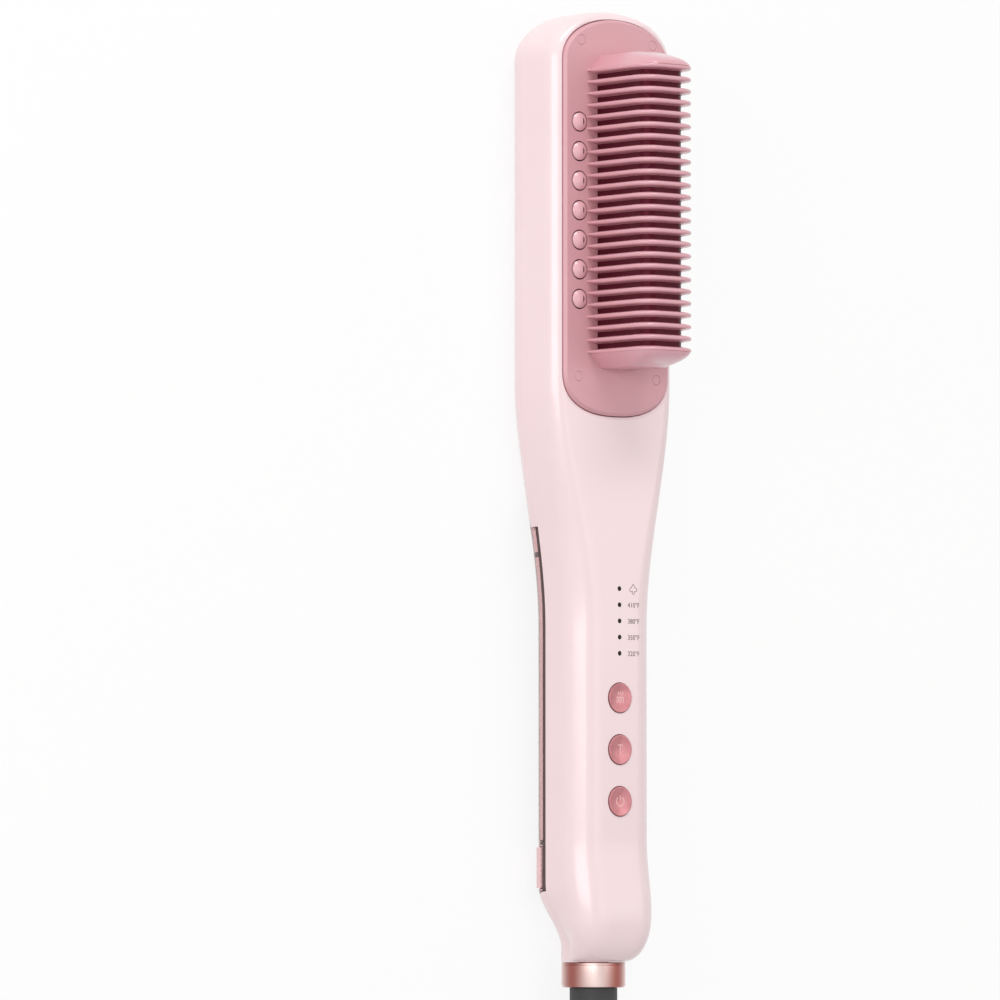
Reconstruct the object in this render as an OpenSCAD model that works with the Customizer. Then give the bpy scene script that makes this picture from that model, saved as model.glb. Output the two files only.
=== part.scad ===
// Steam straightening brush: a long moulded handle with a heated comb of upright fins on its head,
// steam outlets beside the comb, three push buttons, a clip-off water tank in the back of the grip
// and a swivelling mains lead. It lies on its back: +Z is the comb side, +Y runs to the head.

/* [Body] */
// Length from the end of the collar to the top of the head
body_len = 299.2; // [288:0.2:312]
// Width of the head
head_w = 48.8; // [46:0.2:54]
// Width of the grip
grip_w = 31.6; // [30:0.2:34]
// Height of the head's front face above the back
head_z = 25.2; // [24.4:0.1:27]
// Height of the grip's front face above the back
grip_z = 26.9; // [26:0.1:28.5]
// How far the chin at the foot of the grip sweeps forward
chin_rise = 2.5; // [0.5:0.1:4]
// Height of the parting line between the front and the back mouldings
part_z = 10.5; // [10:0.1:11]
// Wall of the housing mouldings
wall = 2; // [1.6:0.1:2.2]
// Gap left at every seam
seam = 0.15; // [0.1:0.01:0.25]

/* [Collar and swivel] */
// Height of the lead's axis above the back
axis_z = 14.5; // [14.2:0.1:15]
// Outside diameter of the collar and the neck
collar_d = 19.6; // [19:0.1:20.5]
// Length of the collar
collar_len = 7.7; // [6:0.1:9]
// Diameter of the swivelling boot at its root
boot_d = 14.6; // [13:0.1:15]
// Diameter of the boot at its tip
boot_tip_d = 8.6; // [7.6:0.1:10]
// Length of the boot outside the collar
boot_len = 57.2; // [46:0.2:58]

/* [Face plate and comb] */
// Width of the face plate
plate_w = 42.2; // [40:0.2:42.6]
// Length of the face plate
plate_len = 121.8; // [116:0.2:124]
// Bevel round the edge of the face plate
plate_bevel = 0.9; // [0.6:0.1:1.2]
// How far the face plate stands above the head's front face
plate_raise = 0.9; // [0.6:0.1:1.4]
// Depth of the face plate below the head's front face
plate_depth = 3.1; // [2.4:0.1:3.6]
// Number of fins, end fins included
fin_count = 25; // [15:2:25]
// Distance between fins
fin_pitch = 3.6; // [3.2:0.05:3.7]
// Height of the fins above the face plate
fin_h = 26; // [18:0.2:30]
// Width of the fins
fin_w = 22; // [18:0.2:23]
// Thickness of a fin at its root
fin_root_t = 1.9; // [1.5:0.1:2.2]
// Thickness of a fin near its crest
fin_crest_t = 1.4; // [1:0.1:1.5]
// Length of the sloping cheek outside the middle of each end fin
cheek_len = 4.7; // [3:0.1:5]
// Distance from the head's top to the middle of the comb
comb_from_top = 62.2; // [60:0.1:64]

/* [Steam outlets] */
// Number of steam outlets in each row
outlet_count = 7; // [3:1:9]
// Distance between outlets
outlet_pitch = 9.05; // [8:0.05:9.6]
// Distance from the centre line to each row
outlet_x = 15.4; // [14.8:0.1:15.8]
// Diameter of an outlet's cap
outlet_d = 5.5; // [4.6:0.1:5.7]

/* [Buttons and lights] */
// Diameter of a button cap
button_d = 9.2; // [7:0.1:10]
// Distance between buttons
button_pitch = 15.8; // [14:0.1:17]
// Distance from the collar's end to the middle button
button_u = 72.6; // [71:0.1:74]
// How far a button stands proud
button_proud = 0.45; // [0.1:0.05:1]
// Button travel
button_travel = 0.5; // [0.3:0.05:0.6]
// Clearance round a button
button_gap = 0.15; // [0.1:0.01:0.25]
// Diameter of an indicator light
light_d = 1.4; // [1:0.1:2]
// Distance between indicator lights
light_pitch = 4.95; // [4:0.05:5.4]
// Distance from the collar's end to the middle light
light_u = 111.9; // [110:0.1:113]

/* [Water tank] */
// Distance from the collar's end to the foot of the tank
tank_foot_u = 24.6; // [23:0.1:26]
// Distance from the head's top to the tank's arched top
tank_from_top = 141.4; // [140:0.1:146]
// Width of the tank's arch
arch_w = 34.7; // [33:0.1:35]
// Length of the tank's arch
arch_len = 17; // [14:0.1:20]
// Wall of the tank
tank_wall = 1.8; // [1.2:0.1:2]
// Length of a release tab
tab_len = 12.4; // [10:0.1:12.6]
// How far a release tab stands out from the grip
tab_proud = 1.2; // [0.8:0.1:1.8]
// Travel of a release tab
tab_travel = 1.5; // [1:0.1:1.8]
// Diameter of the suction tube
suction_d = 4; // [3:0.1:4.4]

/* [Mains lead] */
// Diameter of the lead
lead_d = 6; // [5.6:0.1:6]
// Clear gap between neighbouring passes of the hank
lead_gap = 0.5; // [0.45:0.05:0.7]
// Length of the straight runs of the hank
hank_run = 90; // [84:1:96]
// Radius of the hank's tightest fold
hank_fold_r = 18.2; // [18:0.1:19]
// Distance from the collar's end to the middle of the hank
hank_away = 200; // [196:1:205]

/* [Hidden] */
$fn = 48;

pink = "#f3d9db";
mauve = "#d39fa9";
rose_metal = "#c98f86";
tinted = "#a05d63";
steel = "#b9bcc0";
dark = "#3a393a";
board_green = "#2f6b4a";
white_part = "#e8e6e2";

// The origin stands under the middle of the brush and its boot, so places along the body are
// measured from the collar's end and shifted once.
foot_y = -(body_len - boot_len) / 2;
module from_foot() translate([0, foot_y, 0]) children();

// Clearance between pieces that are screwed or dropped together
fit = 0.05;
// Clearance between pieces that move past each other
run = 0.3;
// A cut runs this far past the face that it opens
over = 1;
// A cut this deep goes through the whole body
through = 40;

// ---- outline of the body, all along the distance u from the collar's end ----

waist_from_top = 188.7;
shoulder_from_top = 113.5;
waist_u = body_len - waist_from_top;
shoulder_u = body_len - shoulder_from_top;
tip_b = 15.7;
back_tip_b = 12.6;
edge_r = 4.6;
grip_edge_r = 8.9;
back_r = 9.5;
grip_back_r = 13;
neck_u = collar_len + 2.3;
tail_u = neck_u + 17;
chin_u = collar_len + 0.9;
chin_len = 8.4;
chin_top_u = 45;
chin_run = 25;

function smooth(t) = let (c = max(0, min(1, t))) c * c * (3 - 2 * c);
function mix(a, b, t) = a + (b - a) * t;
function dome(d, r, n) = d >= r ? 1 : d <= 0 ? 0 : pow(1 - pow((r - d) / r, n), 1 / n);
function waist(u) = smooth((u - waist_u) / (shoulder_u - waist_u));
function tail(u) = smooth((u - neck_u) / (tail_u - neck_u));

// Half width, parting height, front height and back height of the body, drawn in by i
function part_h(u) = mix(axis_z, part_z, tail(u));
function half_w(u, i = 0) =
    (mix(collar_d / 2, mix(grip_w / 2, head_w / 2, waist(u)), tail(u)) - i)
    * dome(body_len - i - u, tip_b - i, 2.1);
function front_h(u, i = 0) =
    let (face = mix(grip_z, head_z, waist(u)) + chin_rise * smooth((chin_top_u - u) / chin_run),
        neck = axis_z + collar_d / 2,
        raised = mix(neck, face, dome(u - chin_u - i, chin_len, 2)))
    raised - i - (edge_r - i) * (1 - dome(body_len - i - u, edge_r - i, 2));
function back_h(u, i = 0) =
    let (low = (axis_z - collar_d / 2) * (1 - tail(u)) + i)
    mix(part_h(u), low, dome(body_len - i - u, back_tip_b - i, 2));
function corner_r(u, i, front) =
    max(1, mix(collar_d / 2, front ? mix(grip_edge_r, edge_r, waist(u))
        : mix(grip_back_r, back_r, waist(u)), tail(u)) - i);

// One half of the body's cross-section, from the right edge over the face to the left edge. It
// runs on past the parting by "past".
corner_steps = 6;
function half_section(u, i, front, past) =
    let (side = front ? 1 : -1,
        w = half_w(u, i),
        p = part_h(u),
        h = abs((front ? front_h(u, i) : back_h(u, i)) - p),
        rx = min(corner_r(u, i, front), w * 0.98),
        rz = min(corner_r(u, i, front), h * 0.98))
    [[w, p - side * past],
        for (k = [0:corner_steps]) let (a = 90 * k / corner_steps)
            [w - rx + rx * cos(a), p + side * (h - rz + rz * sin(a))],
        for (k = [corner_steps:-1:0]) let (a = 90 * k / corner_steps)
            [rx - w - rx * cos(a), p + side * (h - rz + rz * sin(a))],
        [-w, p - side * past]];

// Skin a row of closed outlines, each with the same number of points [x, z] at its own u
module loft(outlines, us, flip = false) {
    m = len(outlines[0]);
    n = len(us);
    points = [for (j = [0:n - 1]) for (q = outlines[j]) [q[0], us[j], q[1]]];
    sides = [for (j = [0:n - 2]) for (k = [0:m - 1]) let (a = j * m + k, b = j * m + (k + 1) % m)
        each [[a, a + m, b + m], [a, b + m, b]]];
    caps = [[for (k = [0:m - 1]) k], [for (k = [m - 1:-1:0]) (n - 1) * m + k]];
    faces = concat(sides, caps);
    polyhedron(points, flip ? [for (f = faces) [for (k = [len(f) - 1:-1:0]) f[k]]] : faces,
        convexity = 8);
}

tip_us = [for (a = [0, 15, 30, 45, 60, 75, 85]) body_len - tip_b + tip_b * sin(a)];
middle_us = [for (k = [0:8]) mix(waist_u, shoulder_u, k / 8)];
front_us = concat([collar_len + seam, chin_u], [for (a = [25, 45, 60, 75, 90])
    chin_u + chin_len * (1 - cos(a))], [tail_u - 7, tail_u - 4, tail_u, 33, 39, chin_top_u],
    middle_us, tip_us);
back_us = concat([collar_len + seam, neck_u], [for (k = [1:6]) mix(neck_u, tail_u, k / 6)],
    middle_us, tip_us);
// The hollow has fewer stations: it starts outside the neck and stops a wall short of the tip
function hollow_us(i, front) = concat([collar_len - over, chin_u + i],
    front ? [for (a = [40, 65, 90]) chin_u + i + chin_len * (1 - cos(a))] : [],
    [tail_u - 6, tail_u, 36, chin_top_u], [for (k = [0:2:8]) mix(waist_u, shoulder_u, k / 8)],
    [for (a = [0, 30, 55, 75, 85]) body_len - tip_b + (tip_b - i) * sin(a)]);

module half_body(front)
    loft([for (u = front ? front_us : back_us) half_section(u, 0, front, 0)],
        front ? front_us : back_us, front);
module half_hollow(i, front)
    loft([for (u = hollow_us(i, front)) half_section(u, i, front, over)],
        hollow_us(i, front), front);

// ---- plan outlines ----

comb_u = body_len - comb_from_top;
plate_top_u = body_len - 2.8;
plate_u = plate_top_u - plate_len;
plate_z = head_z + plate_raise;
plate_low = head_z - plate_depth;
plate_top_b = 12.9;
plate_foot_b = 13.4;
plate_foot_n = 2.4;
// The lip is a rim under the plate that stands inside the opening of the front moulding
lip = -0.9;
lip_len = 3;
lip_h = 1.3;

// Outline of the face plate, grown by g, with its top end pulled in by cut. The foot is squarer
// than an ellipse.
function squarer(c) = sign(c) * pow(abs(c), 2 / plate_foot_n);
function plate_outline(g, cut = 0) = concat(
    [for (a = [0:10:180]) [(plate_w / 2 + g) * cos(a),
        plate_top_u - plate_top_b - cut + (plate_top_b + g) * sin(a)]],
    [for (a = [180:10:360]) [(plate_w / 2 + g) * squarer(cos(a)),
        plate_u + plate_foot_b + (plate_foot_b + g) * squarer(sin(a))]]);

tank_top_u = body_len - tank_from_top;
tank_side_rise = 5;
// Plan of the tank, drawn in by i: an arch at the top and a shallow bow at the foot
function tank_plan(i) = concat([[through, tank_top_u - arch_len], [arch_w / 2 - i, tank_top_u - arch_len]],
    [for (a = [12:12:168]) [(arch_w / 2 - i) * cos(a),
        tank_top_u - arch_len + (arch_len - i) * sin(a)]],
    [[i - arch_w / 2, tank_top_u - arch_len], [-through, tank_top_u - arch_len]],
    [for (x = [-20:4:20]) [x, tank_foot_u + i + tank_side_rise * pow(x / (grip_w / 2), 2)]],
    [[through, tank_foot_u + i + tank_side_rise * 2]]);
module tank_prism(i, low, high) translate([0, 0, low]) linear_extrude(high - low)
    polygon(tank_plan(i));

// ---- places of the small pieces ----

button_us = [for (k = [-1:1]) button_u - k * button_pitch];
light_us = [for (k = [-2:2]) light_u + k * light_pitch];
outlet_us = [for (k = [0:outlet_count - 1]) comb_u + (k - (outlet_count - 1) / 2) * outlet_pitch];
plate_screw_at = [for (s = [-1, 1]) each [[s * 15.7, plate_u + 11.7], [s * 14.4, plate_top_u - 7]]];
screw_d = 1.6;
screw_head_d = 2.8;
screw_head_h = 1.2;
plug_hole_d = 3;
boss_d = 4.6;

deck_low = part_z + seam;
deck_t = 1.5;
deck_top = deck_low + deck_t;
board_low = 19;
board_t = 1.6;
board_screw_len = 5.5;
board_top = board_low + board_t;
board_w = 20;
board_foot_u = button_u - button_pitch - 9.8;
board_top_u = light_u + 2 * light_pitch + 5.2;
board_screw_at = [for (s = [-1, 1]) for (u = [board_foot_u + 3, board_top_u - 26])
    [s * (board_w / 2 - 2), u]];
face_low = grip_z - wall;

// ---- housing ----

module front_shell() color(pink) from_foot() {
    difference() {
        half_body(true);
        half_hollow(wall, true);
        translate([0, 0, plate_low]) linear_extrude(20) polygon(plate_outline(seam));
        for (u = button_us) translate([0, u, face_low - over])
            cylinder(d = button_d + 2 * button_gap, h = wall + 2 * over);
        for (u = light_us) translate([0, u, face_low - over])
            cylinder(d = light_d + 2 * fit, h = wall + 2 * over);
    }
    // Screw pillars for the chassis, rooted in the face
    for (at = chassis_screw_at) translate([at[0], at[1], deck_top + fit]) difference() {
        cylinder(d = pillar_d, h = front_h(at[1], wall) + 0.6 - deck_top - fit);
        translate([0, 0, -over]) cylinder(d = chassis_screw_d + 2 * fit, h = pillar_bore + over);
    }
}
pillar_d = 5.4;
pillar_bore = 9;
chassis_screw_d = 2;
chassis_head_d = 3.8;
chassis_head_h = 0.8;
chassis_screw_len = 8.8;
pillar_gap = 3.4;
chassis_screw_at = [[-7, board_foot_u - 3 * pillar_gap], [7, board_foot_u - 3 * pillar_gap],
    [-1.5, board_top_u + pillar_gap]];

module back_shell() color(pink) from_foot() {
    difference() {
        half_body(false);
        half_hollow(wall, false);
        tank_prism(-seam, -over, through);
        translate([-through, -over, -over]) cube([2 * through, bulk_u + over, through]);
    }
    for (at = plate_screw_at) translate([at[0], at[1], wall - 0.4]) difference() {
        cylinder(d = boss_d, h = plate_low - fit - wall + 0.4);
        translate([0, 0, plate_low - wall - 9]) cylinder(d = screw_d + 2 * fit, h = 20);
    }
}

// The foot of the back moulding, round the swivel
module neck_cap() color(pink) from_foot() difference() {
    half_body(false);
    half_hollow(wall, false);
    tank_prism(-seam, -over, through);
    translate([-through, tank_foot_u + 15, -over]) cube([2 * through, body_len, through]);
}

module collar_ring() color(rose_metal) from_foot() translate([0, 0, axis_z]) rotate([-90, 0, 0])
    rotate_extrude($fn = 96) polygon([[boot_d / 2 + run, 0], [collar_d / 2 - 1, 0],
        [collar_d / 2 - 0.35, 0.3], [collar_d / 2, 1], [collar_d / 2, collar_len - 0.4],
        [collar_d / 2 - 0.3, collar_len], [boot_d / 2 + run, collar_len]]);

// ---- face plate, comb and heater ----

comb_slot_w = fin_w + 2 * fit;
comb_half = (fin_count - 1) / 2 * fin_pitch;
fin_depth = 4.2;
fin_corner_r = 7;
// Each leg of a fin spreads outwards over its lowest part, short of the outlets
fin_flare = max(0.2, outlet_x - outlet_d / 2 - fin_w / 2 - run);
fin_flare_h = 6;
// Half thickness of a fin at its foot
fin_foot_t = fin_root_t / 2 + 0.3;
rail_w = 3.6;
comb_seat = plate_low - 2.1;

module face_plate() color(mauve) from_foot() difference() {
    union() {
        translate([0, 0, plate_low]) linear_extrude(plate_z - plate_low - plate_bevel)
            polygon(plate_outline(0));
        for (k = [0:bevel_steps - 1]) translate([0, 0, plate_z - plate_bevel * (1 - k / bevel_steps)])
            linear_extrude(plate_bevel / bevel_steps)
                polygon(plate_outline(-plate_bevel * (k + 0.5) / bevel_steps));
        translate([0, 0, plate_low - lip_h]) linear_extrude(lip_h + over)
            polygon(plate_outline(lip, lip_len));
    }
    translate([0, 0, plate_low - lip_h - over]) linear_extrude(lip_h + over)
        polygon(plate_outline(lip - 1.1, lip_len - 1));
    translate([-comb_slot_w / 2, comb_u - comb_half - fin_foot_t - fit, 0])
        cube([comb_slot_w, 2 * (comb_half + fin_foot_t + fit), through]);
    for (s = [-1, 1]) for (u = outlet_us) translate([s * outlet_x, u, 0])
        cylinder(d = outlet_d + 2 * seam, h = through);
    for (at = plate_screw_at) translate([at[0], at[1], 0]) {
        cylinder(d = screw_d + 2 * fit, h = through);
        translate([0, 0, plate_low + 1.4]) cylinder(d = plug_hole_d + 2 * fit, h = through);
        translate([0, 0, plate_low - 10]) cylinder(d = boss_d + 2 * fit, h = 10);
    }
}

bevel_steps = 3;

// Cross-section of a fin from its free edge, at 0, inward: a rounded edge and a wedge
module fin_wedge() polygon([[-fin_depth, -fin_foot_t], [-fin_depth, fin_foot_t],
    [-fin_depth / 2, fin_root_t / 2], [-0.7, fin_crest_t / 2], [-0.2, fin_crest_t / 3],
    [0, 0], [-0.2, -fin_crest_t / 3], [-0.7, -fin_crest_t / 2], [-fin_depth / 2, -fin_root_t / 2]]);

// One fin, an arch on two legs, that stands on z = 0
fin_sink = 1.5;
module fin() {
    leg = fin_h - fin_corner_r;
    flat = fin_w / 2 - fin_corner_r;
    for (s = [0, 1]) mirror([s, 0, 0]) {
        translate([fin_w / 2, 0, -fin_sink]) linear_extrude(leg + fin_sink) fin_wedge();
        translate([fin_w / 2, fin_crest_t / 3, 0]) rotate([90, 0, 0])
            linear_extrude(fin_crest_t * 2 / 3) polygon([[-1, 0], [fin_flare, 0],
                [fin_flare * 0.9, fin_flare_h * 0.08], [fin_flare * 0.42, fin_flare_h * 0.35],
                [fin_flare * 0.12, fin_flare_h * 0.7], [0, fin_flare_h], [-1, fin_flare_h]]);
        translate([flat, 0, leg]) rotate([90, 0, 0]) rotate_extrude(angle = 90, $fn = 48)
            translate([fin_corner_r, 0]) fin_wedge();
    }
    translate([-flat, 0, fin_h]) rotate([0, 90, 0]) rotate([0, 0, 180]) linear_extrude(2 * flat)
        fin_wedge();
}

// The fins between the two end fins, joined by a rail under each row of legs
rail_half = comb_half - fin_foot_t - fit;
module comb_fins() color(mauve) from_foot() {
    for (k = [1:fin_count - 2])
        translate([0, comb_u - comb_half + k * fin_pitch, plate_z]) fin();
    for (s = [-1, 1]) translate([s * (fin_w - rail_w) / 2 - rail_w / 2, comb_u - rail_half, comb_seat])
        cube([rail_w, 2 * rail_half, plate_z + 0.7 - comb_seat]);
}

// Arched outline of the comb, grown by g and cut to height h
module arch(g, h) {
    r = fin_corner_r + g;
    hw = fin_w / 2 + g;
    translate([-hw, 0]) square([2 * hw, h + g - r]);
    translate([r - hw, 0]) square([2 * (hw - r), h + g]);
    for (s = [-1, 1]) translate([s * (hw - r), h + g - r]) circle(r, $fn = 48);
}

// Each end fin is one piece with a thick cheek, which slopes down and away from the comb. Each
// step is a share of the cheek's length, how far the arch is drawn in, and a share of its height.
cheek_steps = [[0.1, 0.2, 0.99], [0.4, 1.2, 0.91], [0.72, 2.4, 0.76], [1, 3.9, 0.54]];
cheek_slice = 0.2;
module comb_cheeks() color(mauve) from_foot() for (s = [-1, 1])
    translate([0, comb_u + s * comb_half, plate_z]) {
        fin();
        hull() for (step = cheek_steps)
            translate([0, s * step[0] * (cheek_len - cheek_slice / 2), 0]) rotate([90, 0, 0])
                linear_extrude(cheek_slice, center = true)
                    arch(-step[1], step[2] * fin_h + step[1]);
    }

core_gap = 0.15;
core_w = fin_w - 2 * (fin_depth + core_gap);
core_len = 2 * comb_half - 0.6;
core_top = plate_z + fin_h - fin_depth - core_gap;
slot_w = 3;
slot_h = 16;

module heater_block() color(dark) from_foot() difference() {
    translate([0, comb_u + core_len / 2, comb_seat]) rotate([90, 0, 0])
        linear_extrude(core_len) {
            r = fin_corner_r - fin_depth;
            translate([-core_w / 2, 0]) square([core_w, core_top - comb_seat - r]);
            translate([r - core_w / 2, 0]) square([core_w - 2 * r, core_top - comb_seat]);
            for (s = [-1, 1]) translate([s * (core_w / 2 - r), core_top - comb_seat - r]) circle(r);
        }
    translate([-slot_w / 2, comb_u - core_len / 2 - over, comb_seat + 3])
        cube([slot_w, core_len + 2 * over, slot_h]);
}

module heater_element() color(white_part) from_foot()
    translate([fit - slot_w / 2, comb_u - core_len / 2 + 3, comb_seat + 3 + fit])
        cube([slot_w - 2 * fit, core_len - 6, slot_h - 2 * fit]);

outlet_seat = comb_seat;
module steam_outlet() {
    difference() {
        union() {
            cylinder(d = outlet_d, h = plate_z - outlet_seat + 0.2);
            translate([0, 0, plate_z - outlet_seat + 0.2]) intersection() {
                translate([0, 0, 1.7 - dome_r]) sphere(dome_r, $fn = 48);
                cylinder(d = outlet_d, h = 3);
            }
        }
        translate([0, 0, -over]) cylinder(d = 2, h = plate_z - outlet_seat);
        translate([0.6, 0, plate_z - outlet_seat - 1.4]) rotate([0, 40, 0]) cylinder(d = 1.4, h = 8);
    }
}
dome_r = (pow(outlet_d / 2, 2) + 1.7 * 1.7) / (2 * 1.7);
module steam_outlets_left() color(mauve) from_foot() for (u = outlet_us)
    translate([-outlet_x, u, outlet_seat]) steam_outlet();
module steam_outlets_right() color(mauve) from_foot() for (u = outlet_us)
    translate([outlet_x, u, outlet_seat]) mirror([1, 0, 0]) steam_outlet();

plate_screw_seat = plate_low + 1.4;
module plate_screws() color(steel) from_foot() for (at = plate_screw_at)
    translate([at[0], at[1], plate_screw_seat]) {
        translate([0, 0, -9]) cylinder(d = screw_d, h = 9);
        difference() {
            cylinder(d = screw_head_d, h = screw_head_h);
            translate([0, 0, 0.6]) cylinder(d = 1, h = 2, $fn = 6);
        }
    }
module screw_plugs() color(mauve) from_foot() for (at = plate_screw_at)
    translate([at[0], at[1], plate_screw_seat + screw_head_h])
        cylinder(d = plug_hole_d, h = plate_z - plate_screw_seat - screw_head_h);

gen_w = 36;
gen_len = 60;
gen_low = 11.2;
module steam_generator() color(steel) from_foot() {
    difference() {
        translate([-gen_w / 2, comb_u - gen_len / 2, gen_low])
            cube([gen_w, gen_len, comb_seat - gen_low]);
        for (x = [-10:5:10]) translate([x - 1, comb_u - gen_len / 2 - over, gen_low - over])
            cube([2, gen_len + 2 * over, 3]);
    }
    translate([pump_x - 2, comb_u - gen_len / 2 + fit, gen_port_z]) rotate([90, 0, 0])
        cylinder(d = nozzle_d, h = 6);
    for (s = [-1, 1]) translate([s * (gen_w / 2 - 7), comb_u + s * (gen_len / 2 - 5), wall])
        cylinder(d = 5, h = gen_low - wall);
}

module thermostat() color(white_part) from_foot() translate([0, comb_u + 12, gen_low - 4.2]) {
    cylinder(d = 12, h = 4.1);
    translate([-8, -2, 1]) cube([16, 4, 0.8]);
}

module thermal_fuse() color(white_part) from_foot()
    translate([0, comb_u - gen_len / 2 + 12, gen_low - 2.1]) rotate([-90, 0, 0]) {
        cylinder(d = 4, h = 12);
        translate([0, 0, -8]) cylinder(d = 1, h = 28);
    }

// ---- inside the grip ----

// A round tube of n sides swept along a list of points
function unit(v) = v / norm(v);
function tangent(p, k) = unit(p[min(len(p) - 1, k + 1)] - p[max(0, k - 1)]);
module tube(p, d, sides = 8) {
    n = len(p);
    rings = [for (k = [0:n - 1]) let (t = tangent(p, k), s = unit(cross(t, [0, 0, 1])),
        v = cross(s, t)) [for (a = [0:sides - 1]) p[k] + d / 2
        * (cos(360 * (a + 0.5) / sides) * s + sin(360 * (a + 0.5) / sides) * v)]];
    sides_f = [for (k = [0:n - 2]) for (a = [0:sides - 1]) let (i = k * sides + a,
        j = k * sides + (a + 1) % sides) each [[i, j, j + sides], [i, j + sides, i + sides]]];
    caps = [[for (a = [sides - 1:-1:0]) a], [for (a = [0:sides - 1]) (n - 1) * sides + a]];
    polyhedron([for (r = rings) each r], concat(sides_f, caps), convexity = 6);
}
// Points of a smooth curve through the points p, with steps pieces between neighbours
function catmull(a, b, c, d, t) = 0.5 * (2 * b + (c - a) * t + (2 * a - 5 * b + 4 * c - d) * t * t
    + (3 * b - a - 3 * c + d) * t * t * t);
function curve(p, steps) = [for (k = [0:len(p) - 2]) for (s = [0:steps - 1])
    catmull(p[max(0, k - 1)], p[k], p[k + 1], p[min(len(p) - 1, k + 2)], s / steps),
    p[len(p) - 1]];

pump_d = 7.6;
pump_len = 22;
pump_x = -4;
hose_room = 22;
pump_u = comb_u - gen_len / 2 - hose_room - pump_len;
cradle = 10;
pump_z = deck_top + 0.6 + pump_d / 2;
hose_d = 3.4;
nozzle_d = 2.4;
spigot_x = 7.9;
spigot_u = tank_top_u - 18;
spigot_d = 5;
socket_d = 9;

module water_pump() color(white_part) from_foot() translate([pump_x, pump_u, pump_z])
    rotate([-90, 0, 0]) {
        cylinder(d = pump_d, h = pump_len);
        translate([0, 0, -2]) cylinder(d = pump_d - 1.6, h = 2);
        translate([-2, 0, pump_len]) cylinder(d = nozzle_d, h = 5);
        translate([2.5, 0, pump_len]) cylinder(d = nozzle_d, h = 5);
    }

module chassis() color(white_part) from_foot() difference() {
    union() {
        translate([0, 0, deck_low]) linear_extrude(deck_t) polygon(deck_outline);
        for (at = board_screw_at)
            translate([at[0], at[1], deck_top - 0.1]) cylinder(d = 3.6, h = board_low - deck_top + 0.1);
        difference() {
            translate([pump_x - cradle / 2, pump_u + 4, deck_top - 0.1]) cube([cradle, cradle, 4]);
            translate([pump_x, pump_u, pump_z]) rotate([-90, 0, 0])
                cylinder(d = pump_d + 2 * fit, h = pump_len);
        }
    }
    for (at = chassis_screw_at) translate([at[0], at[1], 0]) {
        cylinder(d = chassis_screw_d + 2 * fit, h = through);
        cylinder(d = chassis_head_d + 2 * fit, h = deck_low + chassis_head_h + fit);
    }
    for (at = board_screw_at)
        translate([at[0], at[1], board_top - board_screw_len - fit])
            cylinder(d = screw_d + 2 * fit, h = board_screw_len);
    translate([spigot_x, spigot_u, 0]) cylinder(d = socket_d + 2 * fit, h = through);
}
deck_foot_u = collar_len + 16;
deck_us = [for (k = [0:14]) mix(deck_foot_u, pump_u + cradle + 6, k / 14)];
deck_outline = concat([for (u = deck_us) [half_w(u, wall) - 2 * fit, u]],
    [for (k = [14:-1:0]) [2 * fit - half_w(deck_us[k], wall), deck_us[k]]]);

module chassis_screws() color(steel) from_foot() for (at = chassis_screw_at)
    translate([at[0], at[1], deck_low]) {
        difference() {
            cylinder(d = chassis_head_d, h = chassis_head_h);
            translate([0, 0, -over]) cylinder(d = 1.4, h = over + 0.5, $fn = 6);
        }
        cylinder(d = chassis_screw_d, h = chassis_screw_len);
    }

module control_board() color(board_green) from_foot() difference() {
    union() {
        translate([-board_w / 2, board_foot_u, board_low])
            cube([board_w, board_top_u - board_foot_u, board_t]);
        translate([-7, board_foot_u + 6, board_low - 4]) cube([9, 14, 4]);
        translate([2, board_top_u - 12, board_low - 5]) cylinder(d = 6, h = 5);
    }
    for (at = board_screw_at)
        translate([at[0], at[1], board_low - over])
            cylinder(d = screw_d + 2 * fit, h = board_t + 2 * over);
}
module board_screws() color(steel) from_foot()
    for (at = board_screw_at)
        translate([at[0], at[1], board_top]) {
            translate([0, 0, -board_screw_len]) cylinder(d = screw_d, h = board_screw_len);
            cylinder(d = screw_head_d, h = 0.9);
        }

flange_d = button_d + 1.4;
flange_h = 0.7;
button_low = face_low - fit - flange_h;
switch_top = button_low - button_travel - 0.1;
module button_switches() color(dark) from_foot() for (u = button_us) translate([0, u, board_top]) {
    translate([-3, -3, 0]) cube([6, 6, switch_top - board_top - 0.6]);
    cylinder(d = 3, h = switch_top - board_top);
}
module push_button(u) color(rose_metal) from_foot() translate([0, u, button_low])
    difference() {
        union() {
            cylinder(d = flange_d, h = flange_h);
            cylinder(d = button_d, h = grip_z + button_proud - button_low, $fn = 64);
        }
        translate([0, 0, grip_z + button_proud - button_low - 0.3 + 30]) sphere(30, $fn = 96);
    }
module button_steam() push_button(button_us[0]);
module button_heat() push_button(button_us[1]);
module button_power() push_button(button_us[2]);

led_h = 0.6;
module indicator_leds() color("white") from_foot() for (u = light_us)
    translate([-0.8, u - 0.5, board_top]) cube([1.6, 1, led_h]);
module indicator_lenses() color(dark) from_foot() for (u = light_us)
    translate([0, u, board_top + led_h]) cylinder(d = light_d, h = grip_z - board_top - led_h);

module tank_socket() color(white_part) from_foot() translate([spigot_x, spigot_u, deck_low])
    difference() {
        union() {
            cylinder(d = socket_d, h = 8);
            translate([0, 0, deck_t + fit]) cylinder(d = socket_d + 2, h = 1);
            translate([0, 0, 6]) rotate([-90, 0, 0]) cylinder(d = nozzle_d, h = socket_d / 2 + 4);
        }
        translate([0, 0, -over]) cylinder(d = spigot_d + 2 * run, h = 6.5);
    }

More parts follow.
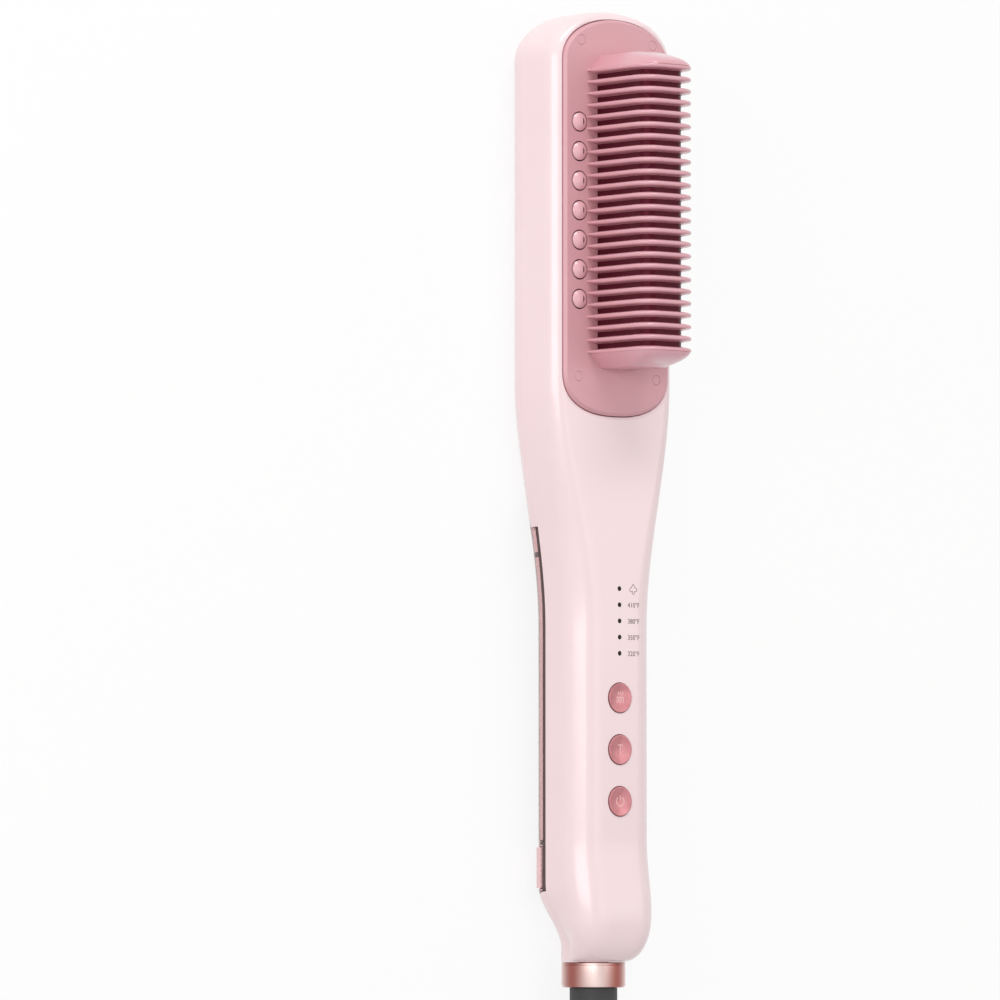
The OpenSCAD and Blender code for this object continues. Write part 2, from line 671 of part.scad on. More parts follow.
// Silicone hoses, from the socket to the pump and from the pump to the steam generator
module pump_hose() color("#dddddd") from_foot() tube(curve([
    [spigot_x, spigot_u + socket_d / 2 + 4.4, deck_low + 6],
    [spigot_x, spigot_u + socket_d / 2 + 7, deck_low + 6],
    [hose_x, spigot_u + 20, deck_low + 6], [hose_x, pump_u + pump_len + 8, deck_low + 6],
    [hose_x - 2, pump_u + pump_len + 12, pump_z], [pump_x + 2.5, pump_u + pump_len + 9, pump_z],
    [pump_x + 2.5, pump_u + pump_len + 5.2, pump_z]], 3), hose_d, 8);
hose_x = 4.5;
gen_port_z = (gen_low + comb_seat) / 2;
module steam_hose() color("#dddddd") from_foot() tube(curve([
    [pump_x - 2, pump_u + pump_len + 5.2, pump_z], [pump_x - 2, pump_u + pump_len + 8, pump_z],
    [pump_x - 2, comb_u - gen_len / 2 - 9, gen_port_z],
    [pump_x - 2, comb_u - gen_len / 2 - 6.2, gen_port_z]], 3), hose_d, 8);

// ---- water tank ----

lid_t = 1.4;
lid_top = part_z;
lid_low = lid_top - lid_t;
bulk_u = tank_foot_u + 19;
roof_u = tank_top_u - 26;
step_u = spigot_u + suction_d / 2 + 2 * fit;
step_x = 1.4;
bulk_t = 1.5;
stopper_d = 5.6;
stopper_z = 5.4;
tab_u = tank_foot_u + 12;
tab_low = 3.2;
tab_high = 8.6;

module tank_shell() color(tinted) from_foot() {
    difference() {
        intersection() {
            half_body(false);
            tank_prism(0, -over, lid_low - fit);
        }
        difference() {
            intersection() {
                half_hollow(tank_wall, false);
                tank_prism(tank_wall, 0, through);
            }
            // Bulkheads that part the water from the two dry ends
            translate([-through, bulk_u, 0]) cube([2 * through, bulk_t, through]);
            translate([-through, roof_u, 0]) cube([through + step_x, bulk_t, through]);
            translate([step_x, step_u, 0]) cube([through, bulk_t, through]);
            translate([step_x - bulk_t, roof_u, 0]) cube([bulk_t, step_u - roof_u + bulk_t, through]);
        }
        for (s = [-1, 1]) translate([s * grip_w / 2 - 8, tab_u - tab_len / 2 - run, tab_low - run])
            cube([16, tab_len + 2 * run, tab_high - tab_low + 2 * run]);
        translate([0, bulk_u - over, stopper_z]) rotate([-90, 0, 0])
            cylinder(d = stopper_d + 2 * run, h = bulk_t + 2 * over);
    }
}

module tank_lid() color(tinted) from_foot() {
    difference() {
        translate([0, 0, lid_low]) linear_extrude(lid_t) polygon(lid_outline);
        translate([spigot_x, spigot_u, 0]) cylinder(d = 3, h = through);
    }
    translate([spigot_x, spigot_u, lid_top - 0.1]) difference() {
        cylinder(d = spigot_d, h = 5.1);
        translate([0, 0, -over]) cylinder(d = 3, h = 8);
        translate([0, 0, 2.6]) rotate_extrude() translate([spigot_d / 2 - 0.5, 0]) square([2, 1.2]);
    }
}
lid_us = [for (k = [0:10]) mix(tank_foot_u + tank_side_rise, tank_top_u - arch_len - 0.6, k / 10)];
lid_outline = concat([for (u = lid_us) [half_w(u) - 0.1, u]],
    [for (a = [0:12:180]) [(arch_w / 2 - 0.3) * cos(a),
        tank_top_u - arch_len + (arch_len - 0.3) * sin(a)]],
    [for (k = [10:-1:0]) [0.1 - half_w(lid_us[k]), lid_us[k]]],
    [for (x = [-12:6:12]) [x, tank_foot_u + 0.3 + tank_side_rise * pow(x / (grip_w / 2), 2)]]);

module spigot_seal() color(dark) from_foot() translate([spigot_x, spigot_u, lid_top + 3.1])
    rotate_extrude() translate([spigot_d / 2 - 0.13, 0]) circle(0.36, $fn = 24);

suction_z = lid_low - suction_d / 2 - 0.6;
suction_foot_u = bulk_u + bulk_t + 3;
module suction_tube() color("#d8cfcb") from_foot() {
    translate([spigot_x, suction_foot_u, suction_z]) rotate([-90, 0, 0]) difference() {
        cylinder(d = suction_d, h = spigot_u + 1.5 - suction_foot_u);
        translate([0, 0, -over]) cylinder(d = 2, h = spigot_u - suction_foot_u + over);
    }
    translate([spigot_x, spigot_u, suction_z]) difference() {
        cylinder(d = 4, h = lid_low - fit - suction_z);
        cylinder(d = 2, h = 20);
    }
}
module suction_filter() color("#d8cfcb") from_foot() translate([spigot_x, suction_foot_u - 1, suction_z])
    rotate([-90, 0, 0]) difference() {
        cylinder(d = suction_d + 1, h = 9);
        translate([0, 0, -over]) cylinder(d = suction_d + 2 * fit, h = 12);
    }

module fill_stopper() color(dark) from_foot() translate([0, bulk_u, stopper_z]) rotate([-90, 0, 0]) {
    translate([0, 0, -1.3]) cylinder(d = 7, h = 1.2);
    translate([0, 0, -0.2]) cylinder(d = stopper_d, h = bulk_t + 1.2);
    translate([0, 0, -4.4]) cylinder(d = 2.4, h = 3.2);
    translate([-2.5, -1, -6.4]) cube([5, 2, 2.2]);
}

module release_tab() difference() {
    intersection() {
        translate([tab_inner, tab_u - tab_len / 2, tab_low])
            cube([grip_w, tab_len, tab_high - tab_low]);
        half_hollow(-tab_proud, false);
    }
    for (k = [0:6]) translate([grip_w / 2 + tab_proud - 0.4, tab_u + (k - 3) * tab_rib - 0.3, 0])
        cube([1, 0.6, 20]);
}
tab_inner = 8.4;
tab_rib = 1.65;
module release_tab_right() color(pink) from_foot() release_tab();
module release_tab_left() color(pink) from_foot() mirror([1, 0, 0]) release_tab();

// Two bent leaf springs, each rooted on the shell's floor behind its tab
module latch_springs() color(steel) from_foot() for (s = [-1, 1]) mirror([s < 0 ? 1 : 0, 0, 0])
    translate([tab_inner - tab_travel - 1.5, tab_u, tank_wall + 0.75]) {
        translate([0, -4, 0]) cube([0.5, 8, 5.6]);
        translate([0, -4, 0]) cube([1.3, 8, 0.5]);
    }

// ---- swivel and strain relief, all round the lead's axis ----

bush_d = collar_d - 2 * wall - run;
hub_d = 9.4;
bush_foot_u = collar_len + seam;
bush_top_u = bush_foot_u + 12;
running = 0.06;

module on_axis(u) translate([0, u, axis_z]) rotate([-90, 0, 0]) children();
module swivel_bush() color(white_part) from_foot() on_axis(bush_foot_u) difference() {
    cylinder(d = bush_d, h = bush_top_u - bush_foot_u);
    translate([0, 0, -over]) cylinder(d = hub_d + 2 * running, h = 20);
}
module swivel_hub() color(dark) from_foot() on_axis(1) difference() {
    union() {
        translate([0, 0, -1]) cylinder(d = boot_d - 3, h = 1);
        cylinder(d = boot_d - 1.2, h = bush_foot_u - 1 - run);
        cylinder(d = hub_d, h = bush_top_u + 3 - 1);
    }
    translate([0, 0, bush_top_u - 1 + 0.3]) difference() {
        cylinder(d = 20, h = 1.2);
        translate([0, 0, -1]) cylinder(d = hub_d - 1.4, h = 4);
    }
    translate([0, 0, -2]) cylinder(d = lead_d + 2 * fit, h = through);
}
module swivel_clip() color(steel) from_foot() on_axis(bush_top_u + 0.3 + fit) difference() {
    cylinder(d = hub_d + 3, h = 1.1);
    translate([0, 0, -over]) cylinder(d = hub_d - 1.4 + 2 * fit, h = 4);
    translate([-0.9, 0, -over]) cube([1.8, 10, 4]);
}
// The boot tapers, with stepped bending ribs on its thin half
boot_rib = 4;
boot_ribs = 8;
module swivel_boot() color(dark) from_foot() on_axis(-boot_len) difference() {
    union() {
        rotate_extrude(angle = 360, $fn = 64) polygon([[0, 0], [boot_tip_d / 2 - 0.6, 0],
            [boot_tip_d / 2, 0.8], [boot_tip_d / 2 + 0.3, boot_ribs * boot_rib + 3],
            [boot_d / 2 - 0.5, boot_len - 12], [boot_d / 2, boot_len - 8], [boot_d / 2, boot_len + 1],
            [0, boot_len + 1]]);
    }
    for (k = [0:boot_ribs - 1]) translate([0, 0, 3 + k * boot_rib]) difference() {
        cylinder(d = 30, h = 1.4);
        translate([0, 0, -over]) cylinder(d = boot_tip_d - 1.4, h = 4);
    }
    translate([0, 0, -over]) cylinder(d = lead_d + 2 * fit, h = boot_len + 4);
    translate([0, 0, boot_len - 0.05]) cylinder(d = boot_d - 3 + 2 * fit, h = 3);
}

// ---- mains lead ----

pass = lead_d + lead_gap;
floor_z = lead_d / 2 + 0.3;
hank_u = -hank_away;
half_run = hank_run / 2;
layer_turns = 1.5;
waist_in = 3;
fold_out = hank_fold_r + pass * layer_turns;

// The hank is a row of runs, joined by half-round folds. Run h goes away from the brush on its right
// when h is even and comes back on its left when it is odd. Each fold steps in or out by half a
// pass, the stepping reverses every third run, and that run climbs a layer.
last_run = 11;
function run_w(h) = floor(h / 3) % 2 == 0 ? fold_out - pass / 2 * (h % 3)
    : hank_fold_r + pass / 2 * (h % 3);
function run_z(h) = floor_z + pass * floor(h / 3);
// Point at the share f of run h, and at the angle a of the fold after it
function run_at(h, f) = let (s = h % 2 == 0 ? 1 : -1)
    [s * (run_w(h) - waist_in * pow(sin(180 * f), 2)), hank_u + s * half_run * (1 - 2 * f),
        run_z(h) - (h % 3 == 0 && h > 0 ? pass * (1 - smooth(f)) : 0)];
function fold_at(h, a) = let (s = h % 2 == 0 ? 1 : -1, w = mix(run_w(h), run_w(h + 1), smooth(a / 180)))
    [s * w * cos(a), hank_u - s * (half_run + w * sin(a)), run_z(h)];
function hank(run_steps, fold_steps) = concat(
    [for (h = [0:last_run - 1]) each concat([for (k = [0:run_steps - 1]) run_at(h, k / run_steps)],
        [for (k = [0:fold_steps - 1]) fold_at(h, 180 * k / fold_steps)])],
    [for (k = [0:run_steps]) run_at(last_run, k / run_steps)]);
hank_points = hank(4, 8);
hank_start = hank_points[0];
hank_end = hank_points[len(hank_points) - 1];

// Route from the boot's tip down to the table and across to the hank
lead_route = [[0, -boot_len - run, axis_z], [0, -64, 14.5], [0, -70, 14.1], [0, -76, 13],
    [1, -84, 10.6], [3, -93, 7.8], [7, -103, 5.4], [12, -113, 3.9], [17, -123, 3.3],
    [22, -134, 3.3], [25.6, -142, 3.3], [27.4, -149, 3.3]];
lead_points = concat(lead_route, [hank_start]);
// Route from the hank's top down to the plug
tail_route = [[-24.7, -148, 22.7], [-24.6, -141, 21.9], [-24.2, -134, 19.8], [-23.6, -127, 16.8],
    [-22, -121, 13.6], [-20.4, -115, 10.9], [-19.4, -109, 9.4], [-19, -104, 9]];
tail_points = concat([hank_end], tail_route);
plug_at = [-19, -103.7, 9];

module lead_run() color(dark) from_foot() tube(lead_points, lead_d, 8);
module lead_hank() color(dark) from_foot() {
    fine = hank(16, 16);
    n = len(fine);
    gaps = [for (i = [0:n - 24]) min([for (j = [i + 22:n - 1]) norm(fine[i] - fine[j])])];
    echo(hank_least_gap = min(gaps) - lead_d,
        lead_length = path_length(hank_points) + path_length(lead_points) + path_length(tail_points));
    tube(hank_points, lead_d, 6);
}
function path_length(p) = let (d = [for (k = [1:len(p) - 1]) norm(p[k] - p[k - 1])])
    d * [for (v = d) 1];
module lead_tail() color(dark) from_foot() tube(tail_points, lead_d, 8);

tie_w = 8;
tie_t = 1.2;
module lead_tie() color(dark) from_foot() translate([0, hank_u + tie_w / 2, 0]) rotate([90, 0, 0])
    linear_extrude(tie_w) difference() {
        hw = fold_out - waist_in + lead_d / 2 + 0.3;
        ht = floor_z + 3 * pass + lead_d / 2 + 0.4;
        translate([-hw - tie_t, 0]) square([2 * (hw + tie_t), ht + tie_t]);
        translate([-hw, 0.25]) square([2 * hw, ht - 0.25]);
    }

blade_w = 6.3;
blade_t = 1.5;
blade_len = 16;
blade_gap = 12.7;
plug_len = 28;
module plug_body() color(dark) from_foot() translate(plug_at) rotate([-90, 0, 0]) {
    rotate_extrude($fn = 48) polygon([[0, 0], [lead_d / 2 + 1, 0], [lead_d / 2 + 3, 13], [0, 13]]);
    translate([0, 0, 12]) intersection() {
        translate([-12, -9, 0]) cube([24, 18, plug_len - 12]);
        translate([0, 0, -4]) cylinder(d1 = 24, d2 = 34, h = 24);
    }
}
module plug_blades() color(steel) from_foot() translate(plug_at) for (s = [-1, 1])
    translate([s * blade_gap / 2 - blade_t / 2, plug_len, -blade_w / 2])
        cube([blade_t, blade_len, blade_w]);

front_shell();
back_shell();
neck_cap();
collar_ring();
face_plate();
comb_fins();
comb_cheeks();
heater_block();
heater_element();
steam_outlets_left();
steam_outlets_right();
plate_screws();
screw_plugs();
steam_generator();
thermostat();
thermal_fuse();
steam_hose();
water_pump();
pump_hose();
chassis();
chassis_screws();
control_board();
board_screws();
button_switches();
indicator_leds();
indicator_lenses();
tank_socket();
button_steam();
button_heat();
button_power();
tank_shell();
tank_lid();
suction_tube();
suction_filter();
spigot_seal();
fill_stopper();
latch_springs();
release_tab_left();
release_tab_right();
swivel_bush();
swivel_hub();
swivel_clip();
swivel_boot();
lead_run();
lead_hank();
lead_tail();
lead_tie();
plug_body();
plug_blades();
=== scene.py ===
import bpy
import bmesh
from math import sin, cos, pi, radians, sqrt
from mathutils import Vector, Matrix


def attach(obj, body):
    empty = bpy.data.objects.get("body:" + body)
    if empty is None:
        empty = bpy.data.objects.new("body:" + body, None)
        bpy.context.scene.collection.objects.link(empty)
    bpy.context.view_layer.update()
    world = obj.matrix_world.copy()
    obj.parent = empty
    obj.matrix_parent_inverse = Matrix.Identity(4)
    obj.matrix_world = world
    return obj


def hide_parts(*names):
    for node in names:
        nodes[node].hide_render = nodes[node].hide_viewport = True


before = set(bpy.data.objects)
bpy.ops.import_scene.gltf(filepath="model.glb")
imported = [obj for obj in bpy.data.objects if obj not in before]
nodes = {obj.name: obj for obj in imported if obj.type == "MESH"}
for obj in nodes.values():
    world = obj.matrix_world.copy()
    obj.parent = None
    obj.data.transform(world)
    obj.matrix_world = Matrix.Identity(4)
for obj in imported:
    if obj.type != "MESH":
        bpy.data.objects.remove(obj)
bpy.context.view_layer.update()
scene = bpy.context.scene
mm = 0.001
weldWithin = 0.004 * mm

# The whole brush, in millimetres: u runs from the collar's end to the top of the head
brush = {"length": 299.2, "headWidth": 48.8, "gripWidth": 31.6, "headFace": 25.2, "gripFace": 26.9,
         "chinRise": 2.5, "parting": 10.5, "wall": 2, "seam": 0.15, "axisHeight": 14.5,
         "collarWidth": 19.6, "collarLength": 7.7, "bootLength": 57.2, "tipLength": 15.7,
         "backTipLength": 12.6, "edgeRadius": 4.6, "gripEdgeRadius": 8.9, "backRadius": 9.5,
         "gripBackRadius": 13}
footY = -(brush["length"] - brush["bootLength"]) / 2
waistAt, shoulderAt = brush["length"] - 188.7, brush["length"] - 113.5
neckAt = brush["collarLength"] + 4.3
tailAt = neckAt + 19
chinAt, chinLength = brush["collarLength"] + 0.3, 12.6


def smoothStep(t):
    t = max(0, min(1, t))
    return t * t * (3 - 2 * t)


def mix(a, b, t):
    return a + (b - a) * t


def dome(d, r, n):
    if d >= r:
        return 1
    return 0 if d <= 0 else (1 - ((r - d) / r) ** n) ** (1 / n)


def place(x, u, z):
    return (x * mm, (u + footY) * mm, z * mm)


def addObject(name, data):
    added = bpy.data.objects.new(name, data)
    scene.collection.objects.link(added)
    return added


def makePiece(name, points, faces, material=None, sharpAngle=32):
    mesh = bpy.data.meshes.new(name)
    mesh.from_pydata([place(*p) for p in points], [], faces)
    mesh.validate()
    piece = addObject(name, mesh)
    tidyMesh(piece, sharpAngle)
    if material:
        mesh.materials.append(material)
    return piece


def tidyMesh(piece, sharpAngle=32):
    bm = bmesh.new()
    bm.from_mesh(piece.data)
    bmesh.ops.remove_doubles(bm, verts=bm.verts, dist=weldWithin)
    bmesh.ops.dissolve_degenerate(bm, edges=bm.edges, dist=weldWithin)
    bmesh.ops.recalc_face_normals(bm, faces=bm.faces)
    bm.to_mesh(piece.data)
    bm.free()
    piece.data.polygons.foreach_set("use_smooth", [True] * len(piece.data.polygons))
    piece.data.set_sharp_from_angle(angle=radians(sharpAngle))


def evaluatedMesh(piece):
    return bpy.data.meshes.new_from_object(piece.evaluated_get(bpy.context.evaluated_depsgraph_get()))


def bakeModifiers(piece, sharpAngle=32, tidied=True):
    baked = evaluatedMesh(piece)
    piece.modifiers.clear()
    piece.data = baked
    baked.name = piece.name
    if tidied:
        tidyMesh(piece, sharpAngle)
    return piece


def cutAway(piece, cutters, operation="DIFFERENCE", sharpAngle=32):
    for cutter in cutters:
        cut = piece.modifiers.new("cut", "BOOLEAN")
        cut.object = cutter
        cut.operation = operation
        cut.solver = "EXACT"
        cut.material_mode = "TRANSFER" if cutter.data.materials else "INDEX"
    bakeModifiers(piece, sharpAngle)
    for cutter in cutters:
        bpy.data.objects.remove(cutter)
    return piece


def joinPieces(name, pieces, sharpAngle=32):
    bm = bmesh.new()
    materials = []
    for piece in pieces:
        offset = len(bm.faces)
        bm.from_mesh(piece.data)
        for m in piece.data.materials:
            if m not in materials:
                materials.append(m)
        slots = [materials.index(m) for m in piece.data.materials]
        bm.faces.ensure_lookup_table()
        for face in bm.faces[offset:]:
            face.material_index = slots[face.material_index] if slots else 0
    mesh = bpy.data.meshes.new(name)
    bm.to_mesh(mesh)
    bm.free()
    for m in materials:
        mesh.materials.append(m)
    joined = addObject(name, mesh)
    for piece in pieces:
        bpy.data.objects.remove(piece)
    tidyMesh(joined, sharpAngle)
    return joined


# Hangs a piece on its body and hides what it replaces
def finishPiece(piece, body, replaced, weighted=False):
    if weighted:
        even = piece.modifiers.new("even", "WEIGHTED_NORMAL")
        even.keep_sharp = True
        even.weight = 80
        bakeModifiers(piece, tidied=False)
    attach(piece, body)
    if replaced:
        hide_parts(*replaced)


def loftPiece(name, rings, material=None, sharpAngle=32):
    count = len(rings[0])
    faces = [(j * count + k, j * count + (k + 1) % count, (j + 1) * count + (k + 1) % count,
              (j + 1) * count + k) for j in range(len(rings) - 1) for k in range(count)]
    faces.append(tuple(range(count)))
    faces.append(tuple((len(rings) - 1) * count + k for k in reversed(range(count))))
    return makePiece(name, [p for ring in rings for p in ring], faces, material, sharpAngle)


def unitRing(count, start=0.0):
    return [(cos(start + 2 * pi * k / count), sin(start + 2 * pi * k / count)) for k in range(count)]


# Points of a quarter turn about (cx, cz), from the side to the top
def quarterTurn(cx, cz, rx, rz, steps):
    turns = [pi / 2 * k / steps for k in range(steps + 1)]
    return [(cx + rx * cos(a), cz + rz * sin(a)) for a in turns]


# A turned shape: the profile holds pairs of radius and height along the axis through the centre
def turnedPiece(name, profile, centre, axis, material=None, steps=64, sharpAngle=32):
    x0, u0, z0 = centre
    points, faces, rings = [], [], []
    for r, h in profile:
        around = [(0, 0)] if r == 0 else [(r * a, r * b) for a, b in unitRing(steps)]
        rings.append([len(points) + k for k in range(len(around))])
        for a, b in around:
            points.append({"z": (x0 + a, u0 + b, z0 + h), "u": (x0 + a, u0 + h, z0 + b),
                           "x": (x0 + h, u0 + a, z0 + b)}[axis])
    for one, two in zip(rings, rings[1:]):
        for k in range(steps):
            n = (k + 1) % steps
            if len(one) == 1:
                faces.append((one[0], two[k], two[n]))
            elif len(two) == 1:
                faces.append((one[k], one[n], two[0]))
            else:
                faces.append((one[k], one[n], two[n], two[k]))
    return makePiece(name, points, faces, material, sharpAngle)


# A round cutter
def barPiece(name, r, low, high, centre, axis, steps=24):
    return turnedPiece(name, [(0, low), (r, low), (r, high), (0, high)], centre, axis, None, steps)


# A cutter for a hole with an eased rim, which holds pairs of growth and height
def holePiece(r, low, high, rim, centre, material, steps):
    profile = [(0, low), (r, low)] + [(r + grow, h) for grow, h in rim]
    return turnedPiece("hole", profile + [(r + rim[-1][0], high), (0, high)], centre, "z", material, steps)


def extrudedPiece(name, outline, low, high, material=None):
    return loftPiece(name, [[(x, u, z) for x, u in outline] for z in (low, high)], material)


def boxPiece(name, low, high, material=None, bevel=0.0):
    (x0, u0, z0), (x1, u1, z1) = low, high
    outline = [(x0, u0), (x1, u0), (x1, u1), (x0, u1)]
    piece = extrudedPiece(name, outline, z0, z1, material)
    if bevel:
        soften = piece.modifiers.new("soften", "BEVEL")
        soften.width = bevel * mm
        soften.segments = 3
        bakeModifiers(piece)
    return piece


def waistShare(u):
    return smoothStep((u - waistAt) / (shoulderAt - waistAt))


def tailShare(u):
    return smoothStep((u - neckAt) / (tailAt - neckAt))


def partingHeight(u):
    return mix(brush["axisHeight"], brush["parting"], tailShare(u))


def sideWidth(u, inset, share):
    wide = mix(brush["gripWidth"] / 2, brush["headWidth"] / 2, waistShare(u))
    return ((mix(brush["collarWidth"] / 2, wide, share) - inset)
            * dome(brush["length"] - inset - u, brush["tipLength"] - inset, 2.1))


def halfWidth(u, inset=0.0):
    return sideWidth(u, inset, tailShare(u))


# The front face keeps its width down to the chin, while the sides below it draw in
def faceWidth(u, inset=0.0):
    return sideWidth(u, inset, dome(u - chinAt - inset, chinLength, 2))


def frontHeight(u, inset=0.0):
    face = (mix(brush["gripFace"], brush["headFace"], waistShare(u))
            + brush["chinRise"] * smoothStep((45 - u) / 25))
    neck = brush["axisHeight"] + brush["collarWidth"] / 2
    raised = mix(neck, face, dome(u - chinAt - inset, chinLength, 2))
    edge = brush["edgeRadius"] - inset
    return raised - inset - edge * (1 - dome(brush["length"] - inset - u, edge, 2))


def backHeight(u, inset=0.0):
    low = (brush["axisHeight"] - brush["collarWidth"] / 2) * (1 - tailShare(u)) + inset
    return mix(partingHeight(u), low, dome(brush["length"] - inset - u,
                                          brush["backTipLength"] - inset, 2))


def cornerRadius(u, inset, front):
    low, high = ((brush["gripEdgeRadius"], brush["edgeRadius"]) if front
                 else (brush["gripBackRadius"], brush["backRadius"]))
    return max(1, mix(brush["collarWidth"] / 2, mix(low, high, waistShare(u)), tailShare(u)) - inset)


def halfRing(u, inset, front, past=0.0, steps=14, flats=4):
    side = 1 if front else -1
    w, p = halfWidth(u, inset), partingHeight(u)
    wide = faceWidth(u, inset) if front else w
    h = abs((frontHeight(u, inset) if front else backHeight(u, inset)) - p)
    rx = min(cornerRadius(u, inset, front), wide * 0.98)
    rz = min(cornerRadius(u, inset, front), h * 0.98)
    right = [(wide, (h - rz) * k / 4) for k in (1, 2, 3)]
    right += quarterTurn(wide - rx, h - rz, rx, rz, steps)
    right = [(x - (wide - w) * (1 - z / h) ** 2, p + side * z) for x, z in right]
    middle = [((wide - rx) * (1 - 2 * k / (flats + 1)), p + side * h) for k in range(1, flats + 1)]
    left = [(-x, z) for x, z in reversed(right)]
    ring = [(w, p - side * past)] + right + middle + left + [(-w, p - side * past)]
    return [(x, u, z) for x, z in ring]


# Height of the front face at a point of the grip, for what lies on it
def faceHeight(x, u):
    w, r, top = halfWidth(u), cornerRadius(u, 0, True), frontHeight(u)
    over = abs(x) - (w - r)
    return top if over <= 0 else top - r * (1 - sqrt(max(0, 1 - (over / r) ** 2)))


def stations(inset, start, chin):
    us = [start, chinAt]
    if chin:
        us += [chinAt + inset + chinLength * (1 - cos(radians(a))) for a in range(10, 91, 8)]
        us += [23.5, 25.5, 28, 30]
    else:
        us += [mix(neckAt, tailAt, k / 14) for k in range(15)]
    us += [32.5 + 2.5 * k for k in range(6)]
    us += [50, 60, 75, 90, 100] + [mix(waistAt, shoulderAt, k / 26) for k in range(27)]
    us += [200, 225, 250, 270]
    tip = brush["tipLength"]
    us += [brush["length"] - tip + (tip - inset) * sin(radians(a)) for a in
           (0, 8, 16, 24, 32, 40, 48, 55, 61, 67, 72, 77, 81, 83.5, 84.8)]
    return us


def halfBody(name, front, material):
    us = stations(0, brush["collarLength"] + brush["seam"], front)
    return loftPiece(name, [halfRing(u, 0, front) for u in us], material, 40)


def halfHollow(name, front, inset):
    us = stations(inset, brush["collarLength"] - 1, front)
    return loftPiece(name, [halfRing(u, inset, front, 1.0, 8, 2) for u in us], None, 40)


photo = {"turn": 40, "rise": 3, "distance": 2.48, "width": 0.307, "aimAt": 149.4, "aimAside": -28.6}


def setCamera():
    turn, rise = radians(photo["turn"]), radians(photo["rise"])
    right = Vector((cos(turn), 0, sin(turn)))
    ahead = Vector((sin(turn) * cos(rise), sin(rise), -cos(turn) * cos(rise)))
    up = right.cross(ahead)
    aim = Vector(place(0, photo["aimAt"], brush["axisHeight"])) + right * photo["aimAside"] * mm
    data = bpy.data.cameras.new("photoCamera")
    data.sensor_width = 36
    data.lens = 36 * photo["distance"] / photo["width"]
    data.clip_end = 20
    camera = addObject("photoCamera", data)
    turned = Matrix((right, up, -ahead)).transposed().to_4x4()
    camera.matrix_world = Matrix.Translation(aim - ahead * photo["distance"]) @ turned
    scene.camera = camera


setCamera()

studio = {"world": 0.58, "key": 7.6, "fill": 1.5, "rim": 8.5, "floorGlow": 0.86, "floorHalf": 6.0,
          "floorAt": -0.0002}


def areaLight(name, where, aim, size, watts):
    data = bpy.data.lights.new(name, "AREA")
    data.shape = "RECTANGLE"
    data.size, data.size_y = size
    data.energy = watts
    light = addObject(name, data)
    light.location = where
    light.rotation_euler = (Vector(aim) - Vector(where)).to_track_quat("-Z", "Y").to_euler()


# Puts a fixed value on a socket, or the output of another node
def feed(tree, value, socket):
    if isinstance(value, bpy.types.NodeSocket):
        tree.links.new(value, socket)
    else:
        socket.default_value = value


def mathNode(tree, operation, *values):
    node = tree.nodes.new("ShaderNodeMath")
    node.operation = operation
    for value, socket in zip(values, node.inputs):
        feed(tree, value, socket)
    return node.outputs[0]


def mixShaders(tree, share, one, two):
    either = tree.nodes.new("ShaderNodeMixShader")
    for value, socket in zip((share, one, two), either.inputs):
        feed(tree, value, socket)
    return either.outputs["Shader"]


def mixColours(tree, share, one, two):
    blend = tree.nodes.new("ShaderNodeMix")
    blend.data_type = "RGBA"
    for value, label in ((share, "Factor"), (one, "A"), (two, "B")):
        feed(tree, value, blend.inputs[label])
    return blend.outputs["Result"]


# How much of the white backdrop a ray sees: the camera's, a reflection's or one through glass
def seenShare(tree, most):
    path = tree.nodes.new("ShaderNodeLightPath")
    seen = mathNode(tree, "MAXIMUM", path.outputs["Is Camera Ray"], path.outputs["Is Glossy Ray"])
    seen = mathNode(tree, "MAXIMUM", seen, path.outputs["Is Transmission Ray"])
    return mathNode(tree, "MULTIPLY", seen, most)


def setLight():
    areaLight("keyLight", (-1.25, 0.25, 0.85), (0, 0.05, 0.02), (0.5, 1.4), studio["key"])
    areaLight("fillLight", (0.55, 0.1, 1.3), (0, 0.05, 0.02), (0.35, 1.2), studio["fill"])
    areaLight("rimLight", (-0.25, 1.35, 0.95), (0, 0.1, 0.02), (1.0, 0.3), studio["rim"])
    world = bpy.data.worlds.new("paleRoom")
    scene.world = world
    world.use_nodes = True
    tree = world.node_tree
    tree.nodes.clear()
    sides = []
    for colour, strength in (((1, 0.985, 0.98, 1), studio["world"]), ((1, 1, 1, 1), 1.0)):
        side = tree.nodes.new("ShaderNodeBackground")
        side.inputs["Color"].default_value = colour
        side.inputs["Strength"].default_value = strength
        sides.append(side.outputs["Background"])
    out = tree.nodes.new("ShaderNodeOutputWorld")
    tree.links.new(mixShaders(tree, seenShare(tree, 1.0), *sides), out.inputs["Surface"])
    scene.view_settings.view_transform = "Standard"


setLight()


def layFloor():
    half = studio["floorHalf"]
    mesh = bpy.data.meshes.new("floor")
    mesh.from_pydata([(a * half, b * half, studio["floorAt"])
                      for a, b in ((-1, -1), (1, -1), (1, 1), (-1, 1))], [], [(0, 1, 2, 3)])
    floor = addObject("floor", mesh)
    paper = bpy.data.materials.new("floorPaper")
    paper.use_nodes = True
    tree = paper.node_tree
    shader = tree.nodes["Principled BSDF"]
    shader.inputs["Base Color"].default_value = (0.93, 0.92, 0.92, 1)
    shader.inputs["Roughness"].default_value = 0.9
    shader.inputs["Specular IOR Level"].default_value = 0.1
    glow = tree.nodes.new("ShaderNodeEmission")
    glow.inputs["Color"].default_value = (1, 1, 1, 1)
    either = mixShaders(tree, seenShare(tree, studio["floorGlow"]), shader.outputs["BSDF"],
                        glow.outputs["Emission"])
    tree.links.new(either, tree.nodes["Material Output"].inputs["Surface"])
    mesh.materials.append(paper)


layFloor()
print("camera, light and floor are set")


